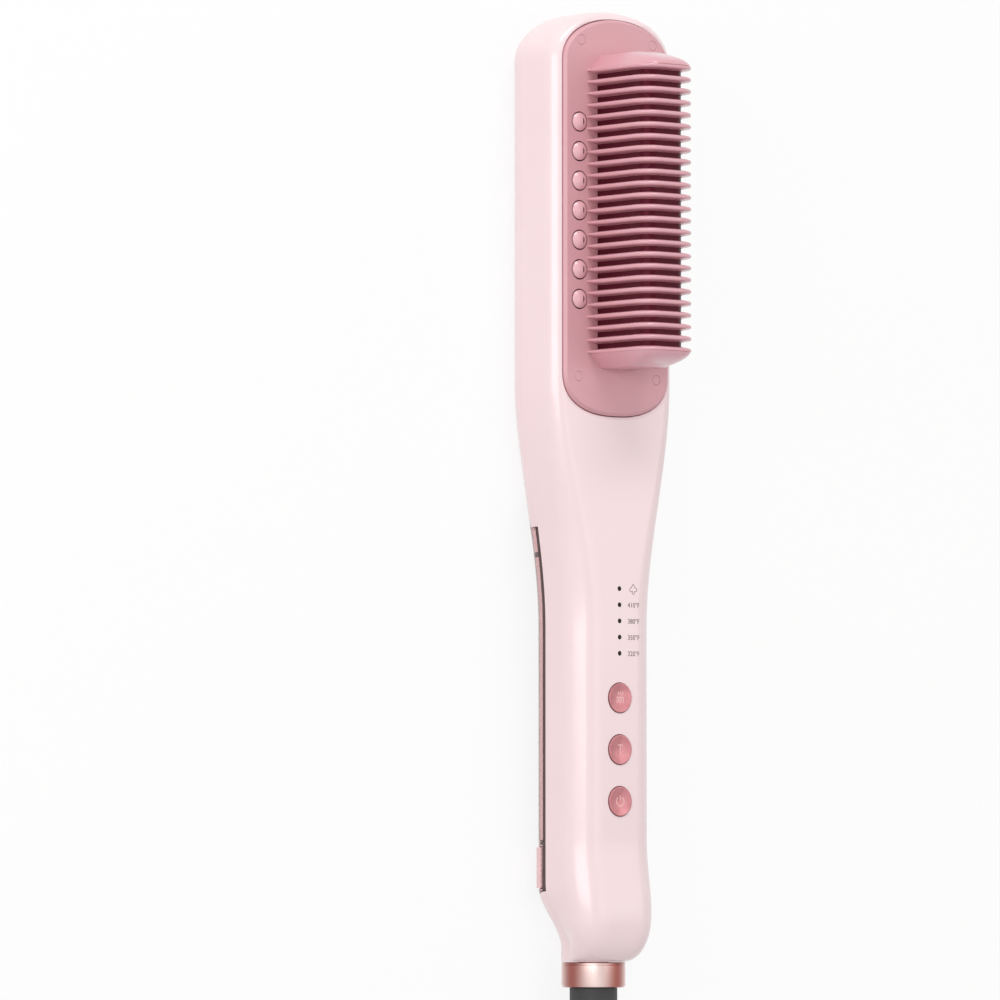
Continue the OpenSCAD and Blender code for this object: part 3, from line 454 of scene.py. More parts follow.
def toneGroup():
    group = bpy.data.node_groups.new("mouldedTone", "ShaderNodeTree")
    for label, kind, value in (("Colour", "NodeSocketColor", (1, 1, 1, 1)),
                               ("Shade", "NodeSocketColor", (1, 1, 1, 1)),
                               ("Patch", "NodeSocketFloat", 60.0), ("Grain", "NodeSocketFloat", 2500.0),
                               ("Dull", "NodeSocketFloat", 0.35), ("Sway", "NodeSocketFloat", 0.1)):
        socket = group.interface.new_socket(name=label, in_out="INPUT", socket_type=kind)
        socket.default_value = value
    for label, kind in (("Colour", "NodeSocketColor"), ("Roughness", "NodeSocketFloat"),
                        ("Height", "NodeSocketFloat")):
        group.interface.new_socket(name=label, in_out="OUTPUT", socket_type=kind)
    start = group.nodes.new("NodeGroupInput")
    end = group.nodes.new("NodeGroupOutput")
    where = group.nodes.new("ShaderNodeTexCoord")
    noises = []
    for label, detail in (("Patch", 3), ("Grain", 2)):
        noise = group.nodes.new("ShaderNodeTexNoise")
        noise.inputs["Detail"].default_value = detail
        group.links.new(where.outputs["Object"], noise.inputs["Vector"])
        group.links.new(start.outputs[label], noise.inputs["Scale"])
        noises.append(noise.outputs["Fac"])
    broad, fine = noises
    colour = mixColours(group, broad, start.outputs["Colour"], start.outputs["Shade"])
    dull = mathNode(group, "MULTIPLY_ADD", broad, start.outputs["Sway"], start.outputs["Dull"])
    for value, label in ((colour, "Colour"), (dull, "Roughness"), (fine, "Height")):
        group.links.new(value, end.inputs[label])
    return group


toneNodes = toneGroup()


def srgb(r, g, b):
    return tuple((c / 255 / 12.92 if c <= 10 else ((c / 255 + 0.055) / 1.055) ** 2.4)
                 for c in (r, g, b)) + (1,)


def newFinish(name, colour, shade=None, dull=0.3, sway=0.08, patch=45, bump=0.04, **sockets):
    finish = bpy.data.materials.new(name)
    finish.use_nodes = True
    tree = finish.node_tree
    shader = tree.nodes["Principled BSDF"]
    tone = tree.nodes.new("ShaderNodeGroup")
    tone.node_tree = toneNodes
    shade = shade or [c * 0.96 for c in colour]
    for label, value in (("Colour", srgb(*colour)), ("Shade", srgb(*shade)), ("Patch", patch),
                         ("Dull", dull), ("Sway", sway)):
        tone.inputs[label].default_value = value
    rough = tree.nodes.new("ShaderNodeBump")
    rough.inputs["Strength"].default_value = bump
    rough.inputs["Distance"].default_value = 0.0002
    for value, socket in ((tone.outputs["Colour"], shader.inputs["Base Color"]),
                          (tone.outputs["Roughness"], shader.inputs["Roughness"]),
                          (tone.outputs["Height"], rough.inputs["Height"]),
                          (rough.outputs["Normal"], shader.inputs["Normal"])):
        tree.links.new(value, socket)
    for socket, value in sockets.items():
        shader.inputs[socket.replace("_", " ")].default_value = value
    return finish


shellFinish = newFinish("pinkShell", (241, 219, 221), (238, 213, 216), dull=0.26, sway=0.06,
                        Coat_Weight=0.5, Coat_Roughness=0.12)
plateFinish = newFinish("mauvePlate", (215, 164, 171), (209, 155, 163), dull=0.38, sway=0.08, bump=0.1)
finFinish = newFinish("mauveFins", (219, 164, 173), (212, 154, 164), dull=0.22, sway=0.06, bump=0.05,
                      Coat_Weight=0.5, Coat_Roughness=0.1)
# the heater core's own dark colour; the steam slots in the caps use it too, as painted shade
coreAndSlotShade = newFinish("darkCore", (88, 24, 38), (72, 17, 30), dull=0.3, sway=0.08, bump=0.05,
                       Specular_IOR_Level=0.3, Specular_Tint=srgb(214, 120, 138))
capFinish = newFinish("outletCaps", (234, 184, 191), (226, 174, 182), dull=0.22, sway=0.05, bump=0.03,
                      Coat_Weight=0.4)
roseMetal = newFinish("roseMetal", (202, 140, 143), (168, 104, 110), dull=0.24, sway=0.1, patch=330,
                      bump=0.05, Metallic=0.9, Anisotropic=0.75)
# painted shade: dark walls for the gaps round the outlets and buttons, where shade falls
paintedGapShade = newFinish("shadedGap", (104, 52, 62), (92, 44, 54), dull=0.5, sway=0.1)
tabFinish = newFinish("pinkTabs", (241, 200, 202), (236, 192, 195), dull=0.3, sway=0.06)
signFinish = newFinish("paleSigns", (240, 190, 190), (232, 180, 181), dull=0.4, sway=0.1)
rubberFinish = newFinish("darkRubber", (58, 57, 58), (50, 49, 50), dull=0.55, sway=0.15, bump=0.2)
steelFinish = newFinish("plainSteel", (188, 190, 194), (170, 172, 176), dull=0.3, sway=0.15, Metallic=1.0)
whiteFinish = newFinish("whiteMoulding", (228, 218, 212), (220, 208, 203), dull=0.4, sway=0.1)
boardFinish = newFinish("boardLaminate", (40, 104, 70), (32, 92, 60), dull=0.35, sway=0.1)
ceramicFinish = newFinish("whiteCeramic", (232, 228, 222), (222, 216, 210), dull=0.5, sway=0.1)
lensFinish = newFinish("darkLens", (20, 14, 16), (14, 10, 12), dull=0.3, sway=0.04, Specular_IOR_Level=0.2)
hoseFinish = newFinish("siliconeHose", (214, 208, 204), (204, 198, 194), dull=0.35, sway=0.1)
tubeFinish = newFinish("greyTube", (206, 186, 180), (196, 176, 170), dull=0.3, sway=0.08)
bladeFinish = newFinish("brassBlades", (206, 176, 120), (190, 160, 104), dull=0.25, sway=0.12,
                        Metallic=1.0)
printFinish = newFinish("greyPrint", (96, 84, 86), (86, 75, 77), dull=0.5, sway=0.1)
tankFinish = newFinish("roseTank", (230, 184, 184), (224, 174, 175), dull=0.05, sway=0.03, bump=0.01,
                       Transmission_Weight=0.92, IOR=1.46)


# Spun metal: the sheen runs round each cap
def spinSheen(finish):
    tree = finish.node_tree
    around = tree.nodes.new("ShaderNodeTangent")
    around.direction_type = "RADIAL"
    around.axis = "Z"
    tree.links.new(around.outputs["Tangent"], tree.nodes["Principled BSDF"].inputs["Tangent"])


spinSheen(roseMetal)

# painted reflections on the collar: how many dark streaks, where the bright part lies, and their colours
paintedReflectionBands = {"count": 4, "brightAt": 128, "bright": (238, 214, 209), "dark": (160, 98, 90)}


# Turned metal of the collar, with painted reflections: darker streaks painted at even angles round its axis
def collarFinish():
    finish = newFinish("collarMetal", paintedReflectionBands["bright"], dull=0.24, sway=0.08, Metallic=1.0)
    tree = finish.node_tree
    where = tree.nodes.new("ShaderNodeTexCoord")
    parts = tree.nodes.new("ShaderNodeSeparateXYZ")
    tree.links.new(where.outputs["Object"], parts.inputs["Vector"])
    above = mathNode(tree, "SUBTRACT", parts.outputs["Z"], brush["axisHeight"] * mm)
    angle = mathNode(tree, "ARCTAN2", above, parts.outputs["X"])
    turned = mathNode(tree, "MULTIPLY_ADD", angle, paintedReflectionBands["count"],
                      -paintedReflectionBands["count"] * radians(paintedReflectionBands["brightAt"]))
    share = mathNode(tree, "MULTIPLY_ADD", mathNode(tree, "COSINE", turned), 0.5, 0.5)
    tone = next(n for n in tree.nodes if n.type == "GROUP")
    # mixes the painted reflection streaks into the collar's colour
    colour = mixColours(tree, share, srgb(*paintedReflectionBands["dark"]), tone.outputs["Colour"])
    tree.links.new(colour, tree.nodes["Principled BSDF"].inputs["Base Color"])
    return finish


collarMetal = collarFinish()

# Pieces that keep their plain solid
plainNodes = [(steelFinish, ("plate_screws", "steam_generator", "chassis_screws", "board_screws",
                             "latch_springs", "swivel_clip")),
              (whiteFinish, ("chassis", "water_pump", "tank_socket", "swivel_bush")),
              (ceramicFinish, ("heater_element", "thermostat", "thermal_fuse", "indicator_leds")),
              (boardFinish, ("control_board",)), (lensFinish, ("button_switches",)),
              (hoseFinish, ("steam_hose", "pump_hose", "suction_filter")), (tubeFinish, ("suction_tube",)),
              (rubberFinish, ("spigot_seal", "swivel_hub", "fill_stopper")), (tankFinish, ("tank_lid",))]
for finish, names in plainNodes:
    for name in names:
        nodes[name].data.materials.clear()
        nodes[name].data.materials.append(finish)
print("finishes are mixed")


lead = {"diameter": 6.0, "gap": 0.5, "run": 90, "foldRadius": 18.2, "away": 199.9, "waistIn": 3,
        "lift": 0.3, "squeeze": 0.988, "lastRun": 11, "sides": 12}
leadRoute = [(0, -57.5, 14.5), (0, -64, 14.5), (0, -70, 14.1), (0, -76, 13), (1, -84, 10.6),
             (3, -93, 7.8), (7, -103, 5.4), (12, -113, 3.9), (17, -123, 3.3), (22, -134, 3.3),
             (25.6, -142, 3.3), (27.4, -149, 3.3)]
tailRoute = [(-24.7, -148, 22.7), (-24.6, -141, 21.9), (-24.2, -134, 19.8), (-23.6, -127, 16.8),
             (-22, -121, 13.6), (-20.4, -115, 10.9), (-19.4, -109, 9.4), (-19, -104, 9)]
leadPass = lead["diameter"] + lead["gap"]
foldOut = lead["foldRadius"] + leadPass * 1.5
floorHeight = lead["diameter"] / 2 + lead["lift"]


def runWidth(h):
    step = leadPass / 2 * (h % 3)
    return foldOut - step if (h // 3) % 2 == 0 else lead["foldRadius"] + step


def runPoint(h, f):
    side = 1 if h % 2 == 0 else -1
    climb = leadPass * (1 - smoothStep(f)) if h % 3 == 0 and h > 0 else 0
    return (side * (runWidth(h) * lead["squeeze"] - lead["waistIn"] * sin(pi * f) ** 2),
            -lead["away"] + side * lead["run"] / 2 * (1 - 2 * f),
            floorHeight + leadPass * (h // 3) - climb)


def foldPoint(h, f):
    side = 1 if h % 2 == 0 else -1
    w = mix(runWidth(h), runWidth(h + 1), smoothStep(f)) * lead["squeeze"]
    return (side * w * cos(pi * f), -lead["away"] - side * (lead["run"] / 2 + w * sin(pi * f)),
            floorHeight + leadPass * (h // 3))


def hankPoints(runSteps, foldSteps):
    points = []
    for h in range(lead["lastRun"]):
        points += [runPoint(h, k / runSteps) for k in range(runSteps)]
        points += [foldPoint(h, k / foldSteps) for k in range(foldSteps)]
    return points + [runPoint(lead["lastRun"], k / runSteps) for k in range(runSteps + 1)]


def smoothRoute(points, steps):
    made = []
    for k in range(len(points) - 1):
        a, b, c, d = (Vector(points[max(0, min(len(points) - 1, k + o))]) for o in (-1, 0, 1, 2))
        for s in range(steps):
            t = s / steps
            made.append(0.5 * (2 * b + (c - a) * t + (2 * a - 5 * b + 4 * c - d) * t * t
                               + (3 * b - a - 3 * c + d) * t ** 3))
    return made + [Vector(points[-1])]


def tubePiece(name, route, diameter, sides, material):
    points = [Vector(p) for p in route]
    rings = []
    across = None
    for k, p in enumerate(points):
        ahead = (points[min(len(points) - 1, k + 1)] - points[max(0, k - 1)]).normalized()
        across = (ahead.cross(Vector((0, 0, 1))) if across is None else across - ahead * across.dot(ahead))
        across.normalize()
        other = across.cross(ahead)
        rings.append([tuple(p + diameter / 2 * (a * across + b * other))
                      for a, b in unitRing(sides, pi / sides)])
    return loftPiece(name, rings, material, 60)


def makeLead():
    hank = hankPoints(10, 14)
    route = smoothRoute(leadRoute + [hank[0]], 3)[:-1] + [Vector(p) for p in hank]
    route += smoothRoute([hank[-1]] + tailRoute, 3)[1:]
    flex = tubePiece("mainsLead", route, lead["diameter"], lead["sides"], rubberFinish)
    length = sum((b - a).length for a, b in zip(route, route[1:]))
    return flex, [place(*p) for p in route], length


flex, flexPath, flexLength = makeLead()

plug = {"x": -19, "u": -103.7, "z": 9, "length": 28, "bladeGap": 12.7, "blade": (1.5, 16, 6.3)}


def superRing(cx, u, cz, wide, tall, power):
    ring = []
    for a, b in unitRing(40):
        grow = (abs(a) ** power + abs(b) ** power) ** (-1 / power)
        ring.append((cx + wide / 2 * a * grow, u, cz + tall / 2 * b * grow))
    return ring


def makePlug():
    x, u, z = plug["x"], plug["u"], plug["z"]
    rings = [superRing(x, u + 0.02, z, 7.4, 7.4, 2), superRing(x, u + 0.3, z, 8.0, 8.0, 2)]
    for k in range(4):  # bending ribs on the neck
        at, size = u + 1.6 + k * 2.6, 8.2 + k * 0.9
        rings += [superRing(x, at + reach, z, size + grow, size + grow, 2)
                  for reach, grow in ((0, 0), (0.2, -1.2), (1.0, -1.2), (1.2, 0.4))]
    for at, wide, tall, power in ((12.6, 12.4, 12.2, 2.1), (13.6, 15.5, 13.6, 2.4),
                                  (15.2, 19.4, 15.4, 2.8), (17.4, 22.4, 16.8, 3.2), (20, 23.6, 17.4, 3.6),
                                  (24.6, 23.6, 17.4, 3.8), (26.9, 23.2, 17.0, 3.8), (27.7, 22.2, 16.0, 3.8),
                                  (plug["length"], 21, 14.8, 3.8)):
        rings.append(superRing(x, u + at, z, wide, tall, power))
    body = loftPiece("plugBody", rings, rubberFinish, 38)
    t, length, w = plug["blade"]
    blades = []
    for side in (-1, 1):
        cx = x + side * plug["bladeGap"] / 2
        blade = boxPiece("blade", (cx - t / 2, u + plug["length"], z - w / 2),
                         (cx + t / 2, u + plug["length"] + length, z + w / 2), bladeFinish, 0.35)
        hole = barPiece("hole", 1.6, -2, 2, (cx, u + plug["length"] + length - 4.2, z), "x")
        blades.append(cutAway(blade, [hole]))
    return body, joinPieces("plugPins", blades)


plugBody, plugPins = makePlug()

tie = {"width": 8, "thick": 1.1, "side": 28.25, "top": 26.05, "corner": 3.0}


def makeTie():
    hw, ht, t = tie["side"], tie["top"], tie["thick"]
    outer, inner = [], []
    for cx, cz, start in ((hw - 3, ht - 3, 0), (3 - hw, ht - 3, 90), (3 - hw, 3.2, 180), (hw - 3, 3.2, 270)):
        for k in range(7):
            a = radians(start + 15 * k)
            r = tie["corner"]
            outer.append((cx + (r + t) * cos(a), max(0.02, cz + (r + t) * sin(a))))
            inner.append((cx + r * cos(a), max(0.24, cz + r * sin(a))))
    count = len(outer)
    points, faces = [], []
    for u in (-lead["away"] - tie["width"] / 2, -lead["away"] + tie["width"] / 2):
        points += [(x, u, z) for x, z in outer] + [(x, u, z) for x, z in inner]
    for k in range(count):
        n = (k + 1) % count
        faces += [(k, n, n + 2 * count, k + 2 * count), (count + k, 3 * count + k, 3 * count + n, count + n),
                  (k, count + k, count + n, n), (2 * count + k, 2 * count + n, 3 * count + n, 3 * count + k)]
    return makePiece("leadTie", points, faces, rubberFinish, 40)


leadTie = makeTie()
finishPiece(flex, "root", ["lead_run", "lead_hank", "lead_tail"])
finishPiece(plugBody, "root", ["plug_body"])
finishPiece(plugPins, "root", ["plug_blades"])
finishPiece(leadTie, "root", ["lead_tie"])
print("the lead is laid")


tank = {"foot": 24.6, "top": 157.8, "archWidth": 34.7, "archLength": 17, "sideRise": 5, "wall": 1.8,
        "lidThick": 1.4, "bulkThick": 1.5, "bulkhead": 43.6, "roof": 131.8, "step": 141.9, "stepX": 1.4,
        "stopperZ": 5.4, "mouth": 3.1}
lidLow = brush["parting"] - tank["lidThick"]


def tankPlan(inset):
    steps, archFoot = 20, tank["top"] - tank["archLength"]
    plan = [(34, archFoot), (tank["archWidth"] / 2 - inset, archFoot)]
    plan += [((tank["archWidth"] / 2 - inset) * cos(pi * k / steps),
              archFoot + (tank["archLength"] - inset) * sin(pi * k / steps)) for k in range(1, steps)]
    plan += [(inset - tank["archWidth"] / 2, archFoot), (-34, archFoot)]
    plan += [(x, tank["foot"] + inset + tank["sideRise"] * (2 * x / brush["gripWidth"]) ** 2)
             for x in [-20 + 2 * k for k in range(21)]]
    return plan + [(34, tank["foot"] + inset + 2 * tank["sideRise"])]


def tankPrism(inset, low, high):
    return extrudedPiece("tankPrism", tankPlan(inset), low, high)


plate = {"width": 42.2, "topMargin": 2.8, "length": 121.8, "low": 22.1, "face": 26.1, "topLength": 12.9,
         "footLength": 13.4, "footPower": 2.4, "bevel": 0.9, "slotGap": 0.15, "screw": 1.5,
         "screwGap": 0.05}
comb = {"fromTop": 62.2, "count": 25, "pitch": 3.6, "height": 26, "width": 22, "depth": 2.9,
        "root": 1.9, "crest": 1.4, "corner": 7, "cheek": 4.7, "seat": 20,
        "flare": 1.45, "flareHeight": 6.5, "sink": 1.5}
outlet = {"count": 7, "pitch": 9.05, "x": 15.4, "width": 5.5, "rise": 1.0, "lip": 0.2, "gap": 0.22}
steamSlot = {"reach": 1.05, "bend": 1.6, "width": 0.5, "turn": 43}
core = {"width": 15.9, "length": 85.8, "top": 49.05, "corner": 4.1, "steps": 60, "channel": 1.5,
        "channelTall": 16}
combAt = brush["length"] - comb["fromTop"]
combHalf = (comb["count"] - 1) / 2 * comb["pitch"]
plateTop = brush["length"] - plate["topMargin"]
plateFoot = plateTop - plate["length"]
outletAts = [combAt + (k - 3) * outlet["pitch"] for k in range(outlet["count"])]
screwAts = [(s * x, u) for x, u in ((15.7, plateFoot + 11.7), (14.4, plateTop - 7)) for s in (-1, 1)]


def plateOutline(grow):
    half, steps = plate["width"] / 2 + grow, 24
    top = [(half * cos(pi * k / steps), plateTop - plate["topLength"]
            + (plate["topLength"] + grow) * sin(pi * k / steps)) for k in range(steps + 1)]
    # the foot is squarer than an ellipse
    power = 2 / plate["footPower"]
    foot = []
    for k in range(steps + 1):
        c, d = cos(pi * k / steps), sin(pi * k / steps)
        foot.append((-half * (1 if c >= 0 else -1) * abs(c) ** power,
                     plateFoot + plate["footLength"] - (plate["footLength"] + grow) * max(0, d) ** power))
    return top + foot


def stackPiece(name, levels, material=None, sharpAngle=32):
    return loftPiece(name, [[(x, u, z) for x, u in plateOutline(g)] for g, z in levels], material, sharpAngle)


def makePlate():
    bevel, face = plate["bevel"], plate["face"]
    levels = [(-0.02, plate["low"]), (0, face - bevel - 0.05), (-0.06, face - bevel + 0.08),
              (-bevel + 0.1, face - 0.06), (-bevel - 0.08, face)]
    body = stackPiece("facePlate", levels, plateFinish, 40)
    halfSlot, slotEnd = core["width"] / 2 + plate["slotGap"], core["length"] / 2 + plate["slotGap"]
    cutters = [boxPiece("slot", (-halfSlot, combAt - slotEnd, 10), (halfSlot, combAt + slotEnd, 40))]
    rim = ((0, -0.3), (0.06, -0.08), (0.2, 0.02))
    # the outlet holes' walls take the painted gap shade
    cutters += [holePiece(outlet["width"] / 2 + outlet["gap"], -10, 2, rim, (s * outlet["x"], u, face),
                          paintedGapShade, 40) for s in (-1, 1) for u in outletAts]
    cutters += [holePiece(plate["screw"] + plate["screwGap"], -10, 2, ((0, -0.08), (0.1, 0.02)),
                          (x, u, face), None, 32) for x, u in screwAts]
    return cutAway(body, cutters, sharpAngle=40)


finishPiece(makePlate(), "root", ["face_plate"], weighted=True)


def makePlugs():
    r = plate["screw"]
    profile = [(0, -1.4), (r, -1.4), (r, -0.12), (r - 0.1, -0.02), (0, -0.02)]
    return joinPieces("screwPlugs", [turnedPiece("plug", profile, (x, u, plate["face"]), "z", plateFinish, 32)
                                     for x, u in screwAts])


finishPiece(makePlugs(), "root", ["screw_plugs"])


def makeOutlets(side):
    made = []
    half, rise, lip = outlet["width"] / 2, outlet["rise"], outlet["lip"]
    ball = (half ** 2 + rise ** 2) / (2 * rise)
    for u in outletAts:
        profile = [(0, comb["seat"] - plate["face"]), (half, comb["seat"] - plate["face"]), (half, lip)]
        profile += [(sqrt(max(0, ball ** 2 - (ball - rise + rise * t) ** 2)), lip + rise * t)
                    for t in (0.08, 0.2, 0.34, 0.48, 0.62, 0.75, 0.86, 0.94, 0.985)] + [(0, lip + rise)]
        cap = turnedPiece("cap", profile, (side * outlet["x"], u, plate["face"]), "z", capFinish, 40)
        # the steam slot: a shallow crescent on the side that faces the comb, its walls painted dark with the
        # core's colour as painted shade of a deep opening
        bend, turn = steamSlot["bend"], steamSlot["turn"]
        outer = [(steamSlot["reach"] - bend + bend * cos(radians(turn * k / 7)),
                  bend * sin(radians(turn * k / 7))) for k in range(-7, 8)]
        inner = [(x - steamSlot["width"] * cos(pi / 2 * k / 7.5), y)
                 for k, (x, y) in reversed(list(zip(range(-7, 8), outer)))]
        slot = extrudedPiece("slot", [(side * (outlet["x"] - x), u + y) for x, y in outer + inner],
                             plate["face"] - 0.5, plate["face"] + 3, coreAndSlotShade)
        made.append(cutAway(cap, [slot], sharpAngle=35))
    return joinPieces("steamOutlets" + ("Left" if side < 0 else "Right"), made, 35)


finishPiece(makeOutlets(-1), "root", ["steam_outlets_left"])
finishPiece(makeOutlets(1), "root", ["steam_outlets_right"])
print("the face plate and its outlets are made")


# Points and outward directions along an arch on two legs, whose feet spread above the plate
def archPath(width, height, corner, low):
    half, flat, leg = width / 2, width / 2 - corner, height - corner
    turns = [pi / 2 * k / 9 for k in range(10)]
    path = [((half, low), (1, 0), 0), ((half, -0.02), (1, 0), 0)]
    path += [((half, z), (1, 0), comb["flare"] * (1 - z / comb["flareHeight"]) ** 2.4)
             for z in (0.01, 0.3, 0.8, 1.6, 2.6, 3.8, 5.2)]
    path += [((half, leg * 0.5), (1, 0), 0)]
    path += [((flat + corner * cos(a), leg + corner * sin(a)), (cos(a), sin(a)), 0) for a in turns]
    return path + [((-p[0], p[1]), (-n[0], n[1]), f) for p, n, f in reversed(path)]


# Depths from the free edge of a fin and the half thickness there
def finSection(flare):
    side = [(0, 0.1), (0.06, 0.3), (0.2, 0.49), (0.42, 0.62), (0.75, comb["crest"] / 2), (1.7, 0.85),
            (comb["depth"], comb["root"] / 2 + 0.15)]
    thin = 1 - 0.35 * flare / comb["flare"]
    side = [(d - flare * (1 - d / comb["depth"]), t * (thin if d < 1 else 1)) for d, t in side]
    return side + [(d, -t) for d, t in reversed(side)]


def makeFin(u):
    rings = []
    for (x, z), (nx, nz), flare in archPath(comb["width"], comb["height"], comb["corner"], -comb["sink"]):
        rings.append([(x - d * nx, u + t, plate["face"] + z - d * nz) for d, t in finSection(flare)])
    return loftPiece("fin", rings, finFinish, 40)


def repeatGroup():
    group = bpy.data.node_groups.new("repeatAlong", "GeometryNodeTree")
    for label, kind in (("Geometry", "NodeSocketGeometry"), ("Piece", "NodeSocketObject"),
                        ("Count", "NodeSocketInt"), ("Spacing", "NodeSocketVector"),
                        ("Finish", "NodeSocketMaterial")):
        group.interface.new_socket(name=label, in_out="INPUT", socket_type=kind)
    group.interface.new_socket(name="Geometry", in_out="OUTPUT", socket_type="NodeSocketGeometry")
    start, end, source, line, spread, real, paint = [group.nodes.new(kind) for kind in (
        "NodeGroupInput", "NodeGroupOutput", "GeometryNodeObjectInfo", "GeometryNodeMeshLine",
        "GeometryNodeInstanceOnPoints", "GeometryNodeRealizeInstances", "GeometryNodeSetMaterial")]
    for one, leaving, two, entering in (
            (start, "Piece", source, "Object"), (start, "Count", line, "Count"),
            (start, "Spacing", line, "Offset"), (line, "Mesh", spread, "Points"),
            (source, "Geometry", spread, "Instance"), (spread, "Instances", real, "Geometry"),
            (real, "Geometry", paint, "Geometry"), (start, "Finish", paint, "Material"),
            (paint, "Geometry", end, "Geometry")):
        group.links.new(one.outputs[leaving], two.inputs[entering])
    return group


repeatNodes = repeatGroup()


def repeatPiece(name, piece, count, spacing, material):
    carrier = addObject(name, bpy.data.meshes.new(name))
    repeat = carrier.modifiers.new("repeat", "NODES")
    repeat.node_group = repeatNodes
    sockets = {item.name: item.identifier for item in repeatNodes.interface.items_tree
               if item.item_type == "SOCKET" and item.in_out == "INPUT"}
    for label, value in (("Piece", piece), ("Count", count), ("Spacing", spacing), ("Finish", material)):
        repeat[sockets[label]] = value
    bakeModifiers(carrier, 40)
    bpy.data.objects.remove(piece)
    return carrier


finishPiece(repeatPiece("combFins", makeFin(combAt - combHalf + comb["pitch"]), comb["count"] - 2,
                        (0, comb["pitch"] * mm, 0), finFinish), "root", ["comb_fins"])

cheek = {"steps": 12, "first": 0.12, "drawnIn": 3.9, "fall": 0.34, "power": 2.4, "round": 0.35}


def archRing(shrink, top):
    half, r = comb["width"] / 2 - shrink, max(1.2, comb["corner"] - shrink * 0.6)
    right = [(half, 0)] + quarterTurn(half - r, top - r, r, r, 8)
    return right + [(-x, z) for x, z in reversed(right)]


# An end fin and the cheek that slopes down and away from it
def makeCheek(side):
    at = combAt + side * combHalf
    rings = []

    def addRing(reach, shrink, top):
        rings.append([(x, at + side * reach, plate["face"] + z) for x, z in archRing(0.15 + shrink, top)])
    for k in range(cheek["steps"] + 1):
        t = mix(cheek["first"], 1, k / cheek["steps"])
        addRing(comb["cheek"] * t, cheek["drawnIn"] * t ** 1.25,
                comb["height"] * (1 - cheek["fall"] * t ** cheek["power"]))
    soft = cheek["round"]
    addRing(comb["cheek"] + soft * 0.7, cheek["drawnIn"] + soft,
            comb["height"] * (1 - cheek["fall"]) - soft * 1.6)
    return joinPieces("cheek", [makeFin(at), loftPiece("slope", rings, finFinish, 50)], 50)


finishPiece(joinPieces("combCheeks", [makeCheek(-1), makeCheek(1)], 50), "root", ["comb_cheeks"])


def makeCore():
    half, top, r = core["width"] / 2, core["top"], core["corner"]
    right = [(half, comb["seat"])] + quarterTurn(half - r, top - r, r, r, 6)
    section = right + [(-x, z) for x, z in reversed(right)]
    rings = [[(x, combAt + core["length"] * (k / core["steps"] - 0.5), z) for x, z in section]
             for k in range(core["steps"] + 1)]
    block = loftPiece("heatCore", rings, coreAndSlotShade, 40)
    side, low = core["channel"], comb["seat"] + 3
    slot = boxPiece("slot", (-side, combAt - 60, low), (side, combAt + 60, low + core["channelTall"]))
    return cutAway(block, [slot], sharpAngle=40)


finishPiece(makeCore(), "root", ["heater_block"], weighted=True)
print("the comb is made")


button = {"width": 9.1, "gap": 0.1, "pitch": 15.8, "middle": 72.6, "proud": 0.45, "low": 24.15,
          "flange": 0.7, "flangeOut": 0.7, "dishRadius": 30, "dishDepth": 0.3}
light = {"width": 1.4, "gap": 0.05, "pitch": 4.95, "middle": 111.9, "low": 21.2}
buttonAts = [button["middle"] + k * button["pitch"] for k in (1, 0, -1)]
lightAts = [light["middle"] + (2 - k) * light["pitch"] for k in range(5)]
faceTop = brush["gripFace"]


def makeFrontShell():
    body = halfBody("frontShell", True, shellFinish)
    seam = brush["seam"]
    cutters = [halfHollow("hollow", True, brush["wall"])]
    cutters.append(stackPiece("opening", [(seam, plate["low"]), (seam, 24.5), (seam + 0.16, 24.9),
                                          (seam + 0.5, 25.12), (seam + 1.0, 25.21), (seam + 1.0, 29)]))
    # the button holes' walls take the painted gap shade
    cutters += [holePiece(button["width"] / 2 + button["gap"], -6, 3, ((0, -0.2), (0.03, -0.06), (0.1, 0.02)),
                          (0, u, faceTop), paintedGapShade, 56) for u in buttonAts]
    cutters += [barPiece("hole", light["width"] / 2 + light["gap"], -6, 3, (0, u, faceTop), "z")
                for u in lightAts]
    return cutAway(body, cutters, sharpAngle=30)


finishPiece(makeFrontShell(), "root", ["front_shell"], weighted=True)


# The back of the housing round the tank, without what a box takes away
def makeBack(name, low, high):
    body = halfBody(name, False, shellFinish)
    return cutAway(body, [halfHollow("hollow", False, brush["wall"]), tankPrism(-brush["seam"], -1, 40),
                          boxPiece("away", low, high)], sharpAngle=30)


finishPiece(makeBack("backShell", (-40, -1, -1), (40, tank["bulkhead"], 40)), "root", ["back_shell"],
            weighted=True)
finishPiece(makeBack("neckCap", (-40, tank["foot"] + 15, -1), (40, 320, 40)), "root", ["neck_cap"],
            weighted=True)
print("the housing is made")


# The dished top of a button, from its centre
def dishHeight(x, u):
    return (faceTop + button["proud"] - button["dishDepth"]
            + (x * x + u * u) / (2 * button["dishRadius"]))


def makeButton(name, u):
    top, r = faceTop + button["proud"], button["width"] / 2
    low, out = button["low"], button["flangeOut"]
    profile = [(0, low), (r + out, low), (r + out, low + button["flange"]), (r, low + button["flange"]),
               (r, top - 0.2), (r - 0.06, top - 0.06), (r - 0.22, top), (r - 0.42, top - 0.02)]
    profile += [(a, dishHeight(a, 0)) for a in (3.9, 3.2, 2.4, 1.6, 0.8, 0)]
    return turnedPiece(name, profile, (0, u, 0), "z", roseMetal, 72, 34)


ink = {"proud": 0.03, "sunk": -0.05, "sign": 0.34, "puff": 0.16}


